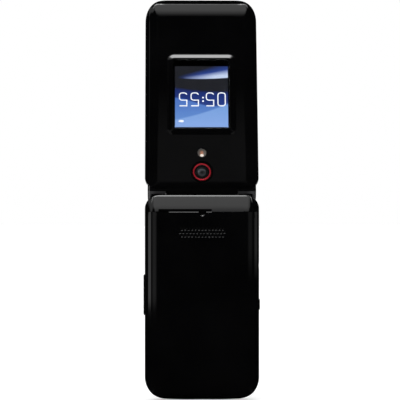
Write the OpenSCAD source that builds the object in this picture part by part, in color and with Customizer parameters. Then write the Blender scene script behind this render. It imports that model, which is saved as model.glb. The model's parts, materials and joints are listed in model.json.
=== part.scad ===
// Folding phone: a base with keypad and battery, and a lid with two displays
// and a camera, joined by a round hinge barrel. The phone stands upright, open.
// X runs to the user's right, Y from the keypad to the back, Z along the phone.
// The origin is on the flat back of the battery cover.

/* [Phone] */
// Width of the base and of the lid
phone_w = 54; // [53:0.5:58]
// Angle between base and lid at the open stop
open_angle = 162; // [150:1:168]
// Gap between the two halves when closed
closed_gap = 0.6; // [0.6:0.1:1]
// Height of the origin above the foot
datum_z = 47; // [40:1:55]
// Gap around a key cap in its opening
key_gap = 0.2; // [0.15:0.05:0.3]
// Radial play of a pin that turns in a bore
pin_play = 0.05; // [0.02:0.01:0.08]

/* [Base] */
// Thickness of the base
base_t = 10.8; // [10.8:0.1:12]
// Height of the base from its foot to its top edge
base_top = 96.7; // [96:0.1:97]
// Corner radius at the foot
foot_r = 10.5; // [9:0.5:12]
// Radius of the bulge along the foot
foot_bulge_r = 260; // [200:10:320]
// Corner radius at the top
base_top_r = 7; // [5:0.5:8]
// Rounding along the sides and the foot of the back
back_r = 6; // [4.5:0.5:6.5]
// Rounding around the keypad side
front_r = 1; // [0.6:0.1:1.2]
// Side walls of the housings
wall = 1.3; // [1:0.1:1.5]
// Depth of the front housing
front_t = 2.8; // [2.8:0.1:3]
// Face of the front housing
front_skin = 1.1; // [1:0.05:1.15]

/* [Slope above the battery cover] */
// Height at which the slope starts
slope_z = 88.6; // [88:0.1:89]
// Tilt of the slope where it starts
slope_a = 25; // [20:1:28]
// Radius of the slope
slope_r = 29; // [27:1:32]

/* [Battery cover] */
// Thickness of the cover
cover_t = 1.1; // [0.9:0.05:1.2]
// Depth of the cover's skirt
skirt = 4.4; // [4:0.1:4.5]
// Gap between the cover and what it slips over
cover_gap = 0.15; // [0.1:0.05:0.2]
// Holes in the longest row of the grille
grille_n = 14; // [8:1:16]
// Pitch of the grille holes
grille_pitch = 1.6; // [1.4:0.1:1.7]
// Diameter of a grille hole
grille_d = 1; // [0.7:0.1:1.1]
// Radius of the nail notch
notch_r = 1.4; // [1:0.1:1.8]

/* [Hinge] */
// Height of the hinge axis above the foot
hinge_z = 98.6; // [98.6:0.1:99.5]
// Radius of the barrel
barrel_r = 4.7; // [4.6:0.05:4.8]
// Gap between the barrel and what turns around it
barrel_gap = 0.3; // [0.25:0.05:0.4]
// Length of the barrel over its end caps
barrel_l = 51.4; // [50:0.1:52]
// Length of the lid's knuckle
knuckle_l = 34; // [32:0.5:36]
// Side gap between the knuckles
knuckle_gap = 0.2; // [0.15:0.05:0.3]
// Thickness of an end cap
hinge_cap_t = 0.8; // [0.6:0.1:1]
// Radius of the plain pin
pin_r = 1.5; // [1.2:0.1:1.8]
// Depth to which the pins sit in the base's knuckles
pin_seat = 5; // [4:0.5:6]
// Depth to which the plain pin enters the lid's knuckle
pin_reach = 6; // [4:0.5:8]
// Radius of the cam's seat in the base's knuckle
cam_r = 2.6; // [2.2:0.1:2.8]
// Radius of the cam's shaft
cam_shaft_r = 1.4; // [1.2:0.05:1.5]
// Radius of the spring cartridge
cartridge_r = 2.9; // [2.7:0.1:3.1]
// Length of the spring cartridge
cartridge_l = 14; // [12:0.5:15]

/* [Lid] */
// Thickness of the lid beside the raised panel
lid_t = 6.6; // [6.5:0.1:7]
// Length of the lid beyond the hinge axis
lid_l = 98.2; // [97.5:0.1:99]
// Length of the lid behind the hinge axis
lid_heel = 1.3; // [1:0.1:1.5]
// Corner radius at the tip
tip_r = 11; // [10:0.5:12]
// Radius of the bulge along the tip
tip_bulge_r = 260; // [200:10:320]
// Radius of the slope towards the tip
tip_over_r = 19.5; // [18:0.5:21]
// Angle of the slope where it meets the tip's edge
tip_turn = 21; // [18:1:23]
// Angle at which the tip's edge starts
tip_edge_a = 28; // [26:1:32]
// Rounding of the tip's edge
tip_edge_r = 8.9; // [8.4:0.1:9.4]
// Corner radius at the hinge end
heel_r = 7; // [5:0.5:8]
// Rounding over the hinge end
heel_over_r = 4; // [3:0.25:4.5]
// Rounding along the sides of the outer face
lid_side_r = 5; // [4:0.25:5.25]
// Depth of the lid's inner housing
bezel_t = 2; // [1.9:0.05:2.1]
// Thickness of the lid's outer face
lid_skin = 1.1; // [1:0.05:1.2]

/* [Raised panel] */
// Width of the panel
panel_w = 33.1; // [32:0.1:35]
// Height of the panel
panel_h = 42; // [41:0.1:43]
// Distance of the panel's middle from the hinge axis
panel_z = 46.3; // [45:0.1:47]
// How far the panel stands proud
panel_rise = 1.4; // [1:0.1:1.6]
// Width of the bevel around the panel
bevel_w = 2.8; // [2.4:0.1:3]
// Corner radius of the panel
panel_r = 3.2; // [3:0.1:4]

/* [Displays] */
// Width of the outer display's module
sub_w = 26.9; // [26:0.1:27]
// Height of the outer display's module
sub_h = 34.2; // [33:0.1:34.4]
// Thickness of the outer display's module
sub_t = 1.6; // [1.4:0.1:1.7]
// Thickness of the outer window
sub_window_t = 1.2; // [1:0.05:1.25]
// Width of the main window
main_window_w = 46; // [44:0.5:47]
// Height of the main window
main_window_h = 66; // [64:0.5:67]
// Distance of the main window from the lid's tip
main_tip = 10.9; // [10:0.1:12]
// Thickness of the main window
main_window_t = 1; // [0.8:0.1:1.1]
// Thickness of the main display's module
main_t = 1.7; // [1.5:0.1:1.8]

/* [Camera and flash] */
// Distance of the camera from the hinge axis
camera_z = 7; // [7:0.1:7.4]
// Outer radius of the coloured ring
ring_r = 4.4; // [4.2:0.1:4.5]
// Inner radius of the coloured ring
ring_in_r = 3.6; // [3.4:0.05:3.8]
// How far the ring stands proud
ring_rise = 0.15; // [0.1:0.05:0.25]
// Radius of the camera lens
lens_r = 1.9; // [1.6:0.1:2.2]
// Side of the camera module
camera_side = 6.2; // [5.6:0.1:6.4]
// Distance of the flash from the hinge axis
flash_z = 16.7; // [15:0.1:18]
// Radius of the flash lens
flash_r = 2.05; // [1.8:0.05:2.3]

/* [Keypad] */
// Distance of the outer number keys from the sides
key_margin = 3.3; // [3:0.1:4]
// Height of a number key
key_h = 8.4; // [7.6:0.1:8.8]
// Gap between the columns of number keys
key_web = 1.8; // [1.6:0.1:2.2]
// Row pitch of the number keys
key_pitch_z = 10; // [9.9:0.05:10.1]
// Height of the lowest row above the foot
key_row_z = 21.5; // [20:0.5:22]
// How far the keys stand proud
key_rise = 0.3; // [0.2:0.05:0.3]
// Corner radius of the keys
key_r = 2.2; // [1:0.1:3]
// Height of the navigation ring's middle above the foot
nav_z = 77; // [76.5:0.5:77.5]
// Outer radius of the navigation ring
nav_r = 9.4; // [8.8:0.1:9.5]
// Radius of the middle key
ok_r = 4; // [3.5:0.1:4.2]
// Distance of the keys beside the ring from the sides
side_key_margin = 2.1; // [2:0.1:2.6]
// Height of the keys beside the ring
side_key_h = 7.4; // [6.5:0.1:7.6]
// Gap between the ring and the keys beside it
ring_space = 2.9; // [2.7:0.1:3.2]
// Height of the clear key
clear_h = 6; // [5:0.5:6.5]

/* [Side keys] */
// Length of the volume rocker
rocker_l = 19.1; // [16:0.1:21]
// Height of the rocker's middle above the foot
rocker_z = 49.4; // [47:0.1:52]
// How far the rocker stands proud
rocker_rise = 0.6; // [0.4:0.05:0.8]
// Length of the short side key
shutter_l = 5.2; // [4.5:0.1:8]
// Height of the short side key's middle above the foot
shutter_z = 44.8; // [42:0.1:47]
// How far the short side key stands proud
shutter_rise = 0.35; // [0.35:0.05:0.6]
// Thickness of the side keys
side_cap_t = 2.2; // [1.8:0.1:2.4]

/* [Battery and sockets] */
// Distance of the battery from the sides
battery_side = 9.5; // [9.25:0.25:10.5]
// Height of the battery
battery_h = 50; // [48:0.5:50]
// Thickness of the battery
battery_t = 4.6; // [4.2:0.1:4.7]
// Height of the battery's lower end above the foot
battery_z = 7.4; // [7.4:0.1:8]
// Radius of the headset jack's bore
jack_r = 1.8; // [1.75:0.01:1.85]
// Length of the headset jack
jack_l = 14; // [12:0.5:14.5]
// Height of the headset jack above the foot
jack_z = 63.2; // [62.6:0.1:63.4]
// Width of the charging socket
usb_w = 7.6; // [7:0.1:8.2]
// Thickness of the charging socket
usb_t = 2.4; // [2.2:0.05:2.4]
// Width of the loudspeaker
speaker_w = 24; // [20:0.5:25]
// Height of the loudspeaker
speaker_h = 10; // [8:0.5:11]
// Height of the loudspeaker and its grille above the foot
speaker_z = 78.5; // [78:0.1:79]

/* [Hidden] */
$fn = 64;
cut = 2;
half_w = phone_w / 2;
blacks = [[0.02, 0.02, 0.022], [0.05, 0.05, 0.055], [0.1, 0.1, 0.11]];

// Levels of the base, counted from the flat back towards the keypad
cover_in = -cover_t;
core_back = cover_in - 0.3;
deck_t = 1;
deck_in = core_back - deck_t;
front_back = front_t - base_t;
face_in = front_skin - base_t;
sheet_t = 0.2;
dome_h = 0.25;
board_t = 0.9;
board_front = front_back + 0.1;
board_back = board_front + board_t;
floor_t = 0.7;
floor_front = board_back + 0.2;
floor_back = floor_front + floor_t;
battery_back = floor_back + battery_t;
band_y = (front_back - skirt) / 2;
dome_top = board_front - sheet_t - dome_h;

// Hinge, and the lid's levels counted from its axis
hinge_y = -base_t - closed_gap / 2;
clear_r = barrel_r + barrel_gap;
barrel_end = barrel_l / 2 - hinge_cap_t;
knuckle_end = knuckle_l / 2;
base_knuckle = knuckle_end + knuckle_gap;
lid_in = closed_gap / 2;
lid_out = lid_in + lid_t;
bezel_out = lid_in + bezel_t;
skin_in = lid_out - lid_skin;
panel_out = lid_out + panel_rise;
tip_y = lid_out - tip_over_r;
tip_edge_y = tip_y + tip_over_r * cos(tip_turn) - tip_edge_r * cos(tip_edge_a);
tip_edge_z = lid_l - sqrt(pow(tip_edge_r, 2) - pow(lid_in - tip_edge_y, 2));
tip_z = tip_edge_z + tip_edge_r * sin(tip_edge_a) - tip_over_r * sin(tip_turn);
bezel_z = clear_r + 0.3;

// Inside of the base
bay_gap = 0.3;
battery_w = 2 * (half_w - battery_side);
bay_wall = 1;
bay_half = battery_w / 2 + bay_gap;
bay_z = battery_z - bay_gap;
bay_h = battery_h + 2 * bay_gap;
chamber_z = bay_z + bay_h + bay_wall;
chamber_top = slope_z - 4.2;
chamber_half = half_w - wall - cover_t - cover_gap - 0.6;
pocket_in = bay_half + bay_wall;
hook_x = half_w - 15;
speaker_gap = 0.2;
board_z = wall + 1.2;
board_top = hinge_z - clear_r - 2.4;
board_half = half_w - wall - 0.5;
base_screw_r = 0.8;
base_head_r = 1.4;
boss_r = 1.9;
base_screws_xz = [[7.5, slope_z - 1.7], [half_w - 6.8, 9.4]];
motor_r = 2.05;
motor_l = 8;
motor_shaft_r = 0.5;
motor_x = chamber_half - motor_r - 1.2;
antenna_l = 34;
antenna_z = bay_z + 8.9;
jack_y = -6.6;
jack_side = 5.6;
jack_t = 4.4;
jack_out = half_w - wall;
usb_y = board_back + usb_t / 2;
usb_l = 5.6;
usb_z = 0.4;
mic_z = 8;
mic_r = 2;

// Keys
flange = 0.5;
flange_t = 0.5;
flange_y = face_in + 0.1;
key_out = -base_t - key_rise;
key_travel = 0.25;
plunger_y = dome_top - key_travel - 0.05;
plunger_r = 1.1;
ok_travel = 0.2;
nav_gap = 0.25;
nav_flange_y = face_in + 0.3;
nav_flange_t = 0.35;
nav_in_r = ok_r + key_gap;
nav_step_r = nav_in_r + 0.8;
plate_r = 5.5;
plate_y = nav_flange_y + nav_flange_t + 0.2;
plate_t = 0.3;
key_w = (2 * (half_w - key_margin) - 2 * key_web) / 3;
key_pitch_x = key_w + key_web;
side_key_w = half_w - side_key_margin - nav_r - ring_space;
side_key_x = nav_r + ring_space + side_key_w / 2;
clear_z = key_row_z + 4 * key_pitch_z + 0.3;
soft_z = nav_z + side_key_h / 2 + 1.3;
send_z = nav_z - side_key_h / 2 - 1.3;
sheet_lo = key_row_z - key_h / 2 - 2.4;
sheet_hi = soft_z + side_key_h / 2 + 2.2;
pad = [["1", -1, 3], ["2", 0, 3], ["3", 1, 3], ["4", -1, 2], ["5", 0, 2], ["6", 1, 2],
       ["7", -1, 1], ["8", 0, 1], ["9", 1, 1], ["star", -1, 0], ["0", 0, 0], ["hash", 1, 0]];
wide_keys = [["soft_key_left", -side_key_x, soft_z, side_key_w, side_key_h],
             ["soft_key_right", side_key_x, soft_z, side_key_w, side_key_h],
             ["send_key", -side_key_x, send_z, side_key_w, side_key_h],
             ["end_key", side_key_x, send_z, side_key_w, side_key_h],
             ["clear_key", 0, clear_z, key_w, clear_h]];
nav_dome_r = 7.2;
side_flange_t = 0.6;
side_flange_x = half_w - wall - side_flange_t - 0.3;

// Inside of the lid
main_window_z = lid_l - main_tip - main_window_h / 2;
lid_cavity_z = bezel_z + 0.6;
window_r = panel_r - 1;
panel_top_w = panel_w - 2 * bevel_w;
panel_top_h = panel_h - 2 * bevel_w;
sub_window_w = sub_w - 0.2;
sub_window_h = sub_h + 1.4;
window_gap = 0.1;
glass_drop = 0.1;
sub_window_back = panel_out - glass_drop - sub_window_t;
sub_back = sub_window_back - 0.1 - sub_t;
main_out = lid_in + 0.05;
main_back = main_out + main_window_t;
lid_board_y = main_back + 0.05 + main_t + 0.1;
lid_board_t = 0.7;
lid_board_z = camera_z + camera_side / 2 + 0.6;
lid_board_w = 2 * (half_w - wall) - 13.4;
lid_board_l = lid_l - 10.2 - lid_board_z;
flex_x = 7.4;
flex_w = 6;
camera_y = 3.2;
camera_back = skin_in - 0.1;
bumper_r = 2.2;
bumper_rise = 0.5;
bumper_seat = 0.6;
bumpers_xz = [[half_w - 6, lid_l - 6.2], [half_w - 5, 8.2]];
lid_screw_r = 0.8;
lid_head_r = 1.3;
lid_head_t = 0.7;
ear_z = lid_l - 6.2;
ear_w = 12;
ear_h = 4.4;
magnet_w = 5;
cartridge_x = -knuckle_end + 0.1;

// Places

module on_base() { translate([0, 0, -datum_z]) children(); }

module on_lid() {
  translate([0, hinge_y, hinge_z - datum_z]) rotate([180 - open_angle, 0, 0]) children();
}

module both_sides() {
  children();
  mirror([1, 0, 0]) children();
}

// Shapes

// What a rounded corner at the origin loses, the material being at +x, +y
module corner_loss(r) {
  difference() {
    translate([-cut, -cut]) square(r + cut);
    translate([r, r]) circle(r);
  }
}

module rounded(w, h, r) {
  difference() {
    square([w, h], center = true);
    if (r > 0) for (sx = [0, 1], sy = [0, 1])
      mirror([sx, 0]) mirror([0, sy]) translate([-w / 2, -h / 2]) corner_loss(r);
  }
}

// Plate facing Y, between two levels
module slab(x, z, w, h, r, y_lo, y_hi) {
  translate([x, y_hi, z]) rotate([90, 0, 0]) linear_extrude(y_hi - y_lo) rounded(w, h, r);
}

// Round post along Y
module post(x, z, r, y_lo, y_hi) {
  translate([x, y_hi, z]) rotate([90, 0, 0]) cylinder(r = r, h = y_hi - y_lo);
}

// Round bar along X
module drum(x_lo, x_hi, r, y = 0, z = 0) {
  translate([x_lo, y, z]) rotate([0, 90, 0]) cylinder(r = r, h = x_hi - x_lo);
}

module box(x_lo, x_hi, y_lo, y_hi, z_lo, z_hi) {
  translate([x_lo, y_lo, z_lo]) cube([x_hi - x_lo, y_hi - y_lo, z_hi - z_lo]);
}

// How much higher a corner of radius r sits on an edge that bulges with radius b
function bulge_lift(b, r, half) = b - r - sqrt(pow(b - r, 2) - pow(half - r, 2));

// Outline of a half of the phone: its end at z_lo bulges with radius b
module outline(half, z_lo, z_hi, r_lo, r_hi, b) {
  lift = bulge_lift(b, r_lo, half);
  intersection() {
    difference() {
      translate([-half, z_lo]) square([2 * half, z_hi - z_lo]);
      for (s = [0, 1]) mirror([s, 0]) {
        translate([-half, z_lo + lift]) corner_loss(r_lo);
        translate([-half, z_hi]) mirror([0, 1]) corner_loss(r_hi);
      }
    }
    translate([0, z_lo + b]) circle(b, $fn = 360);
  }
}

// Section across the phone: y_out is the rounder side
module section(half, y_in, y_out, r_in, r_out) {
  difference() {
    translate([-half, y_in]) square([2 * half, y_out - y_in]);
    for (s = [0, 1]) mirror([s, 0]) {
      translate([-half, y_out]) mirror([0, 1]) corner_loss(r_out);
      if (r_in > 0) translate([-half, y_in]) corner_loss(r_in);
    }
  }
}

// Outer shape of the base, or the same drawn in by i from the sides and the back
module base_form(i = 0) {
  depth = base_t - i;
  intersection() {
    translate([0, -i, 0]) rotate([90, 0, 0]) linear_extrude(depth)
      outline(half_w - i, i, base_top, foot_r - i, max(base_top_r - i, 1), foot_bulge_r);
    linear_extrude(hinge_z)
      section(half_w - i, -base_t, -i, i > 0 ? 0 : front_r, back_r - i);
    rotate([90, 0, 90]) translate([0, 0, -half_w]) linear_extrude(phone_w) base_profile(i);
  }
}

module base_profile(i) {
  difference() {
    translate([-base_t, i]) square([base_t - i, slope_z - i]);
    translate([-i, i]) mirror([1, 0]) corner_loss(back_r - i);
    if (i == 0) translate([-base_t, 0]) corner_loss(front_r);
  }
  intersection() {
    translate([-base_t, slope_z - 0.1]) square([base_t - i, base_top - slope_z + 0.1]);
    translate([-slope_r * cos(slope_a), slope_z - slope_r * sin(slope_a)])
      circle(slope_r - i, $fn = 180);
  }
}

// Outer shape of the lid, without the raised panel
module lid_form(i = 0) {
  intersection() {
    translate([0, lid_out - i, 0]) rotate([90, 0, 0]) linear_extrude(lid_t - i)
      mirror([0, 1]) outline(half_w - i, i - lid_l, lid_heel - i, tip_r - i, heel_r - i,
        tip_bulge_r);
    translate([0, 0, -lid_heel]) linear_extrude(lid_l + lid_heel)
      section(half_w - i, lid_in, lid_out - i, i > 0 ? 0 : front_r, lid_side_r - i);
    rotate([90, 0, 90]) translate([0, 0, -half_w]) linear_extrude(phone_w) lid_profile(i);
  }
}

module lid_profile(i) {
  big = tip_over_r - i;
  small = tip_edge_r - i;
  turn_z = tip_z + big * sin(tip_turn);
  intersection() {
    union() {
      difference() {
        translate([lid_in, i - lid_heel]) square([lid_t - i, tip_z + lid_heel - i]);
        translate([lid_out - i, i - lid_heel]) mirror([1, 0]) corner_loss(heel_over_r - i);
      }
      intersection() {
        translate([lid_in, tip_z - 0.1]) square([lid_t - i, lid_l + cut - tip_z]);
        translate([tip_y, tip_z]) circle(big, $fn = 180);
      }
    }
    union() {
      translate([lid_in - cut, -lid_heel - cut]) square([lid_t + 2 * cut, turn_z - 0.5 + lid_heel + cut]);
      intersection() {
        translate([lid_in - cut, turn_z - 0.6]) square([lid_t + 2 * cut, lid_l + 2 * cut - turn_z]);
        translate([tip_y + big * cos(tip_turn) - small * cos(tip_edge_a),
          turn_z - small * sin(tip_edge_a)]) circle(small, $fn = 180);
      }
    }
  }
}

// Base

module cover_hooks_room(extra) {
  for (x = [-hook_x, hook_x]) slab(x, slope_z - 0.6, 5 + extra, 2.4 + extra, 0,
    core_back - 0.8 - extra, core_back + cut);
}

module base_screw_places() {
  both_sides() for (p = base_screws_xz) translate([p[0], 0, p[1]]) children();
}

module side_key_room(side, z, l) {
  mirror([side < 0 ? 1 : 0, 0, 0]) {
    box(half_w - wall - 0.1, half_w + cut, band_y - side_cap_t / 2 - key_gap,
      band_y + side_cap_t / 2 + key_gap, z - l / 2 - key_gap, z + l / 2 + key_gap);
    box(side_flange_x - 0.6, half_w - wall + 0.05, band_y - side_cap_t / 2 - 0.45,
      band_y + side_cap_t / 2 + 0.45, z - l / 2 - 1.2, z + l / 2 + 1.2);
  }
}

module rear_housing() color(blacks[0]) on_base() {
  difference() {
    union() {
      intersection() {
        base_form();
        union() {
          box(-half_w, half_w, front_back, cut, slope_z, hinge_z);
          box(-half_w, half_w, front_back, -skirt, 0, slope_z + 0.1);
        }
      }
      intersection() {
        base_form(cover_t + cover_gap);
        box(-half_w, half_w, front_back, core_back, 0, slope_z + 0.1);
      }
    }
    // Room for the main board
    intersection() {
      base_form(wall);
      box(-half_w, half_w, -base_t, floor_front, 0, board_top + 0.4);
    }
    // Battery bay, side pockets and upper chamber
    box(-bay_half, bay_half, floor_back, cut, bay_z, bay_z + bay_h);
    both_sides() box(pocket_in, chamber_half, floor_front - 0.1, deck_in, bay_z + 6,
      chamber_z - bay_wall);
    box(-chamber_half, chamber_half, floor_front - 0.1, deck_in, chamber_z, chamber_top);
    // Openings in the deck
    slab(0, speaker_z, speaker_w + 2 * speaker_gap, speaker_h + 2 * speaker_gap, 0,
      deck_in - 0.1, cut);
    slab(0, sim_z, sim_w + 1, sim_h, 0, deck_in - 0.1, cut);
    slab(contact_x, bay_z + bay_h + bay_wall / 2, contact_w, bay_wall + 0.4, 0, floor_back,
      floor_back + contact_t);
    intersection() {
      cover_hooks_room(0.3);
      box(-half_w, half_w, -base_t, cut, 0, slope_z);
    }
    // Sockets
    drum(-half_w - cut, -half_w + wall + 0.1, jack_r + 0.25, jack_y, jack_z);
    box(-jack_out - 0.1, -jack_out + jack_l + 0.3, jack_y - jack_t / 2 - 0.1,
      jack_y + jack_t / 2 + 0.1, jack_z - jack_side / 2 - 0.1, jack_z + jack_side / 2 + 0.1);
    slab(0, 3, usb_w + 0.2, 7, 0.6, usb_y - usb_t / 2 - 0.05, usb_y + usb_t / 2 + 0.05);
    side_key_room(1, rocker_z, rocker_l);
    side_key_room(-1, shutter_z, shutter_l);
    base_screw_places() post(0, 0, base_head_r + 0.1, core_back - 0.9, cut);
    base_screw_places() post(0, 0, base_screw_r, front_back - cut, cut);
    drum(-half_w - cut, half_w + cut, clear_r, hinge_y, hinge_z);
  }
  // Knuckles, each with the web that carries it
  difference() {
    both_sides() {
      drum(base_knuckle, barrel_end, barrel_r, hinge_y, hinge_z);
      box(base_knuckle, barrel_end - 1, hinge_y + 1.7, hinge_y + barrel_r, hinge_z - 3.85,
        hinge_z - 1.6);
    }
    drum(base_knuckle - cut, base_knuckle + pin_seat, pin_r, hinge_y, hinge_z);
    drum(-base_knuckle - pin_seat, -base_knuckle + cut, cam_r, hinge_y, hinge_z);
  }
}

module front_housing() color(blacks[1]) on_base() {
  difference() {
    intersection() {
      base_form();
      box(-half_w, half_w, -base_t, front_back, 0, base_top);
    }
    intersection() {
      base_form(wall);
      box(-half_w, half_w, face_in, 0, 0, board_top + 0.4);
    }
    drum(-half_w - cut, half_w + cut, clear_r, hinge_y, hinge_z);
    drum(-half_w - cut, -half_w + wall + 0.1, jack_r + 0.25, jack_y, jack_z);
    for (k = pad) slab(k[1] * key_pitch_x, key_row_z + k[2] * key_pitch_z,
      key_w + 2 * key_gap, key_h + 2 * key_gap, key_r + key_gap, -base_t - cut, face_in + cut);
    for (k = wide_keys) slab(k[1], k[2], k[3] + 2 * key_gap, k[4] + 2 * key_gap,
      key_r + key_gap, -base_t - cut, face_in + cut);
    post(0, nav_z, nav_r + nav_gap, -base_t - cut, face_in + cut);
    post(0, mic_z, 0.5, -base_t - cut, face_in + cut);
  }
  base_screw_places() difference() {
    post(0, 0, boss_r, face_in - 0.1, front_back);
    post(0, 0, base_screw_r, face_in + 0.4, front_back + cut);
  }
}

// Rows of small holes, the middle row one hole longer
module grille_holes() {
  for (row = [-1, 0, 1]) {
    n = row == 0 ? grille_n : grille_n - 1;
    for (k = [0:n - 1]) post((k - (n - 1) / 2) * grille_pitch, speaker_z + row * grille_pitch,
      grille_d / 2, -cover_t - cut, cut);
  }
}

module battery_cover() color(blacks[0]) on_base() {
  difference() {
    intersection() {
      base_form();
      box(-half_w, half_w, -skirt + 0.05, cut, -cut, slope_z - 0.12);
    }
    base_form(cover_t);
    grille_holes();
    post(0, slope_z - 0.12, notch_r, -cover_t - cut, cut);
  }
  intersection() {
    cover_hooks_room(0);
    box(-half_w, half_w, -skirt, cover_in + 0.1, 0, slope_z - 0.12);
  }
}

module battery() color("dimgray") on_base()
  slab(0, battery_z + battery_h / 2, battery_w, battery_h, 1.2, floor_back, battery_back);

contact_x = 7;
contact_w = 12;
contact_t = 3;
module battery_contacts() color("gold") on_base() {
  z = bay_z + bay_h;
  difference() {
    slab(contact_x, z + 0.6, contact_w, 1.2, 0, floor_back, floor_back + contact_t);
    for (k = [-1, 0, 1]) slab(contact_x + 3.4 * k, z, 2, 1.2, 0, floor_back + 0.5, 0);
  }
  for (k = [-1, 0, 1])
    box(contact_x + 3.4 * k - 0.5, contact_x + 3.4 * k + 0.5, floor_back + 0.9,
      floor_back + 2.6, z - 0.15, z + 0.9);
}

module main_board() color("darkgreen") on_base() {
  difference() {
    slab(0, (board_z + board_top) / 2, 2 * board_half, board_top - board_z, 6,
      board_front, board_back);
    for (s = [0, 1]) mirror([s, 0, 0]) translate([board_half, 0, board_z])
      rotate([0, 45, 0]) cube([11, 3 * base_t, 11], center = true);
    box(-half_w, -jack_out + jack_l + 0.4, -base_t, 0, jack_z - jack_side / 2 - 0.2,
      jack_z + jack_side / 2 + 0.2);
    base_screw_places() post(0, 0, boss_r + 0.2, -base_t, 0);
    for (z = [rocker_z, shutter_z]) mirror([z == rocker_z ? 0 : 1, 0, 0])
      box(half_w - wall - 2.4, half_w, -base_t, 0, z - rocker_l / 2 - 1.6,
        z + rocker_l / 2 + 1.6);
  }
}

sim_w = 16;
sim_h = 11;
sim_z = bay_z + bay_h + 7.3;
can_t = 1.5;
can_x = sim_w / 2 + 1.1;
can_w = motor_x - motor_r - 0.9 - can_x;
module shield_cans() color("silver") on_base() {
  slab(0, speaker_z + 0.5, speaker_w + 2, speaker_h, 0.6, board_back, board_back + can_t);
  slab(can_x + can_w / 2, sim_z, can_w, sim_h - 1, 0.6, board_back, board_back + can_t);
}

module sim_holder() color("silver") on_base() {
  difference() {
    slab(0, sim_z, sim_w, sim_h - 0.6, 0.5, board_back, board_back + 1.4);
    slab(0, sim_z + 1, sim_w - 3.4, sim_h, 0, board_back + 0.4, board_back + 1.1);
  }
}

module dome_places() {
  for (k = pad) translate([k[1] * key_pitch_x, 0, key_row_z + k[2] * key_pitch_z]) children();
  for (k = wide_keys) translate([k[1], 0, k[2]]) children();
  for (a = [0, 90, 180, 270]) translate([nav_dome_r * cos(a), 0, nav_z + nav_dome_r * sin(a)])
    children();
  translate([0, 0, nav_z]) children();
}

module dome_sheet() color("lightyellow") on_base() {
  difference() {
    slab(0, (sheet_lo + sheet_hi) / 2, 2 * board_half - 3.4, sheet_hi - sheet_lo, 2,
      board_front - sheet_t, board_front);
    box(-half_w, -jack_out + jack_l + 0.4, -base_t, 0, jack_z - jack_side / 2 - 0.2,
      jack_z + jack_side / 2 + 0.2);
    base_screw_places() post(0, 0, boss_r + 0.2, -base_t, 0);
  }
  dome_places() post(0, 0, 1.9, dome_top, board_front - sheet_t + 0.05);
}

module speaker() color("dimgray") on_base() {
  difference() {
    slab(0, speaker_z, speaker_w, speaker_h, 1.5, core_back - 3.4, core_back + 0.1);
    slab(0, speaker_z, speaker_w - 3, speaker_h - 3, 1, core_back - 0.5, cut);
  }
  slab(0, speaker_z, speaker_w - 3.4, speaker_h - 3.4, 1, core_back - 0.6, core_back - 0.3);
}

module vibration_motor() color("silver") on_base()
  translate([motor_x, deck_in - motor_r - 0.1, chamber_z + 1.7]) {
    cylinder(r = motor_r, h = motor_l);
    cylinder(r = motor_shaft_r, h = motor_l + 3.8);
    intersection() {
      translate([0, 0, motor_l + 0.6]) cylinder(r = motor_r - 0.15, h = 3);
      box(-motor_r, motor_r, -motor_r, motor_shaft_r, motor_l + 0.6, motor_l + 3.6);
    }
  }

module microphone() color("gold") on_base() {
  post(0, mic_z, mic_r, board_front - 1.2, board_front);
  difference() {
    post(0, mic_z, mic_r, face_in, board_front - 1.2);
    post(0, mic_z, 1, -base_t, 0);
  }
}

module usb_port() color("silver") on_base() {
  difference() {
    slab(0, usb_z + usb_l / 2, usb_w, usb_l, 0, usb_y - usb_t / 2, usb_y + usb_t / 2);
    slab(0, usb_z + usb_l / 2 - 0.4, usb_w - 0.6, usb_l, 0, usb_y - usb_t / 2 + 0.3,
      usb_y + usb_t / 2 - 0.3);
  }
  slab(0, usb_z + usb_l / 2 + 0.3, 3.6, usb_l - 1, 0, usb_y - 0.1, usb_y + 0.5);
}

module headset_jack() color("dimgray") on_base() {
  difference() {
    box(-jack_out, -jack_out + jack_l, jack_y - jack_t / 2, jack_y + jack_t / 2,
      jack_z - jack_side / 2, jack_z + jack_side / 2);
    drum(-jack_out - cut, -jack_out + jack_l + cut, jack_r, jack_y, jack_z);
  }
}

module antenna() color("goldenrod") on_base() {
  x = (pocket_in + chamber_half) / 2;
  w = chamber_half - pocket_in - 0.4;
  slab(x, antenna_z + antenna_l / 2, w, antenna_l, 0.5, deck_in - 0.8, deck_in - 0.1);
  slab(x, antenna_z + antenna_l - 2, w, 4, 0.5, floor_front, deck_in - 0.7);
}

module base_screws() color("silver") on_base() {
  base_screw_places() difference() {
    union() {
      post(0, 0, base_head_r, core_back - 0.9, core_back - 0.1);
      post(0, 0, base_screw_r, face_in + 0.6, core_back - 0.8);
    }
    post(0, 0, 0.6, core_back - 0.5, cut, $fn = 6);
  }
}

// Hinge

module hinge_cam() color("silver") on_base() {
  drum(-base_knuckle - pin_seat, -base_knuckle, cam_r, hinge_y, hinge_z);
  drum(-base_knuckle - 0.5, -base_knuckle + cartridge_l - 2, cam_shaft_r, hinge_y, hinge_z);
}

module hinge_pin() color("silver") on_base()
  drum(knuckle_end - pin_reach + 0.3, base_knuckle + pin_seat, pin_r, hinge_y, hinge_z);

module hinge_caps() color(blacks[1]) on_base() both_sides() {
  drum(barrel_end, barrel_end + hinge_cap_t / 2, barrel_r, hinge_y, hinge_z);
  translate([barrel_end + hinge_cap_t / 2, hinge_y, hinge_z]) rotate([0, 90, 0])
    cylinder(r1 = barrel_r, r2 = barrel_r - 0.4, h = hinge_cap_t / 2);
}

module hinge_cartridge() color("silver") on_lid() {
  difference() {
    drum(cartridge_x, cartridge_x + cartridge_l, cartridge_r);
    drum(cartridge_x - cut, cartridge_x + cartridge_l - 1, cam_shaft_r + pin_play);
    drum(cartridge_x + 2, cartridge_x + cartridge_l - 2.5, cartridge_r - 0.45);
  }
}

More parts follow.
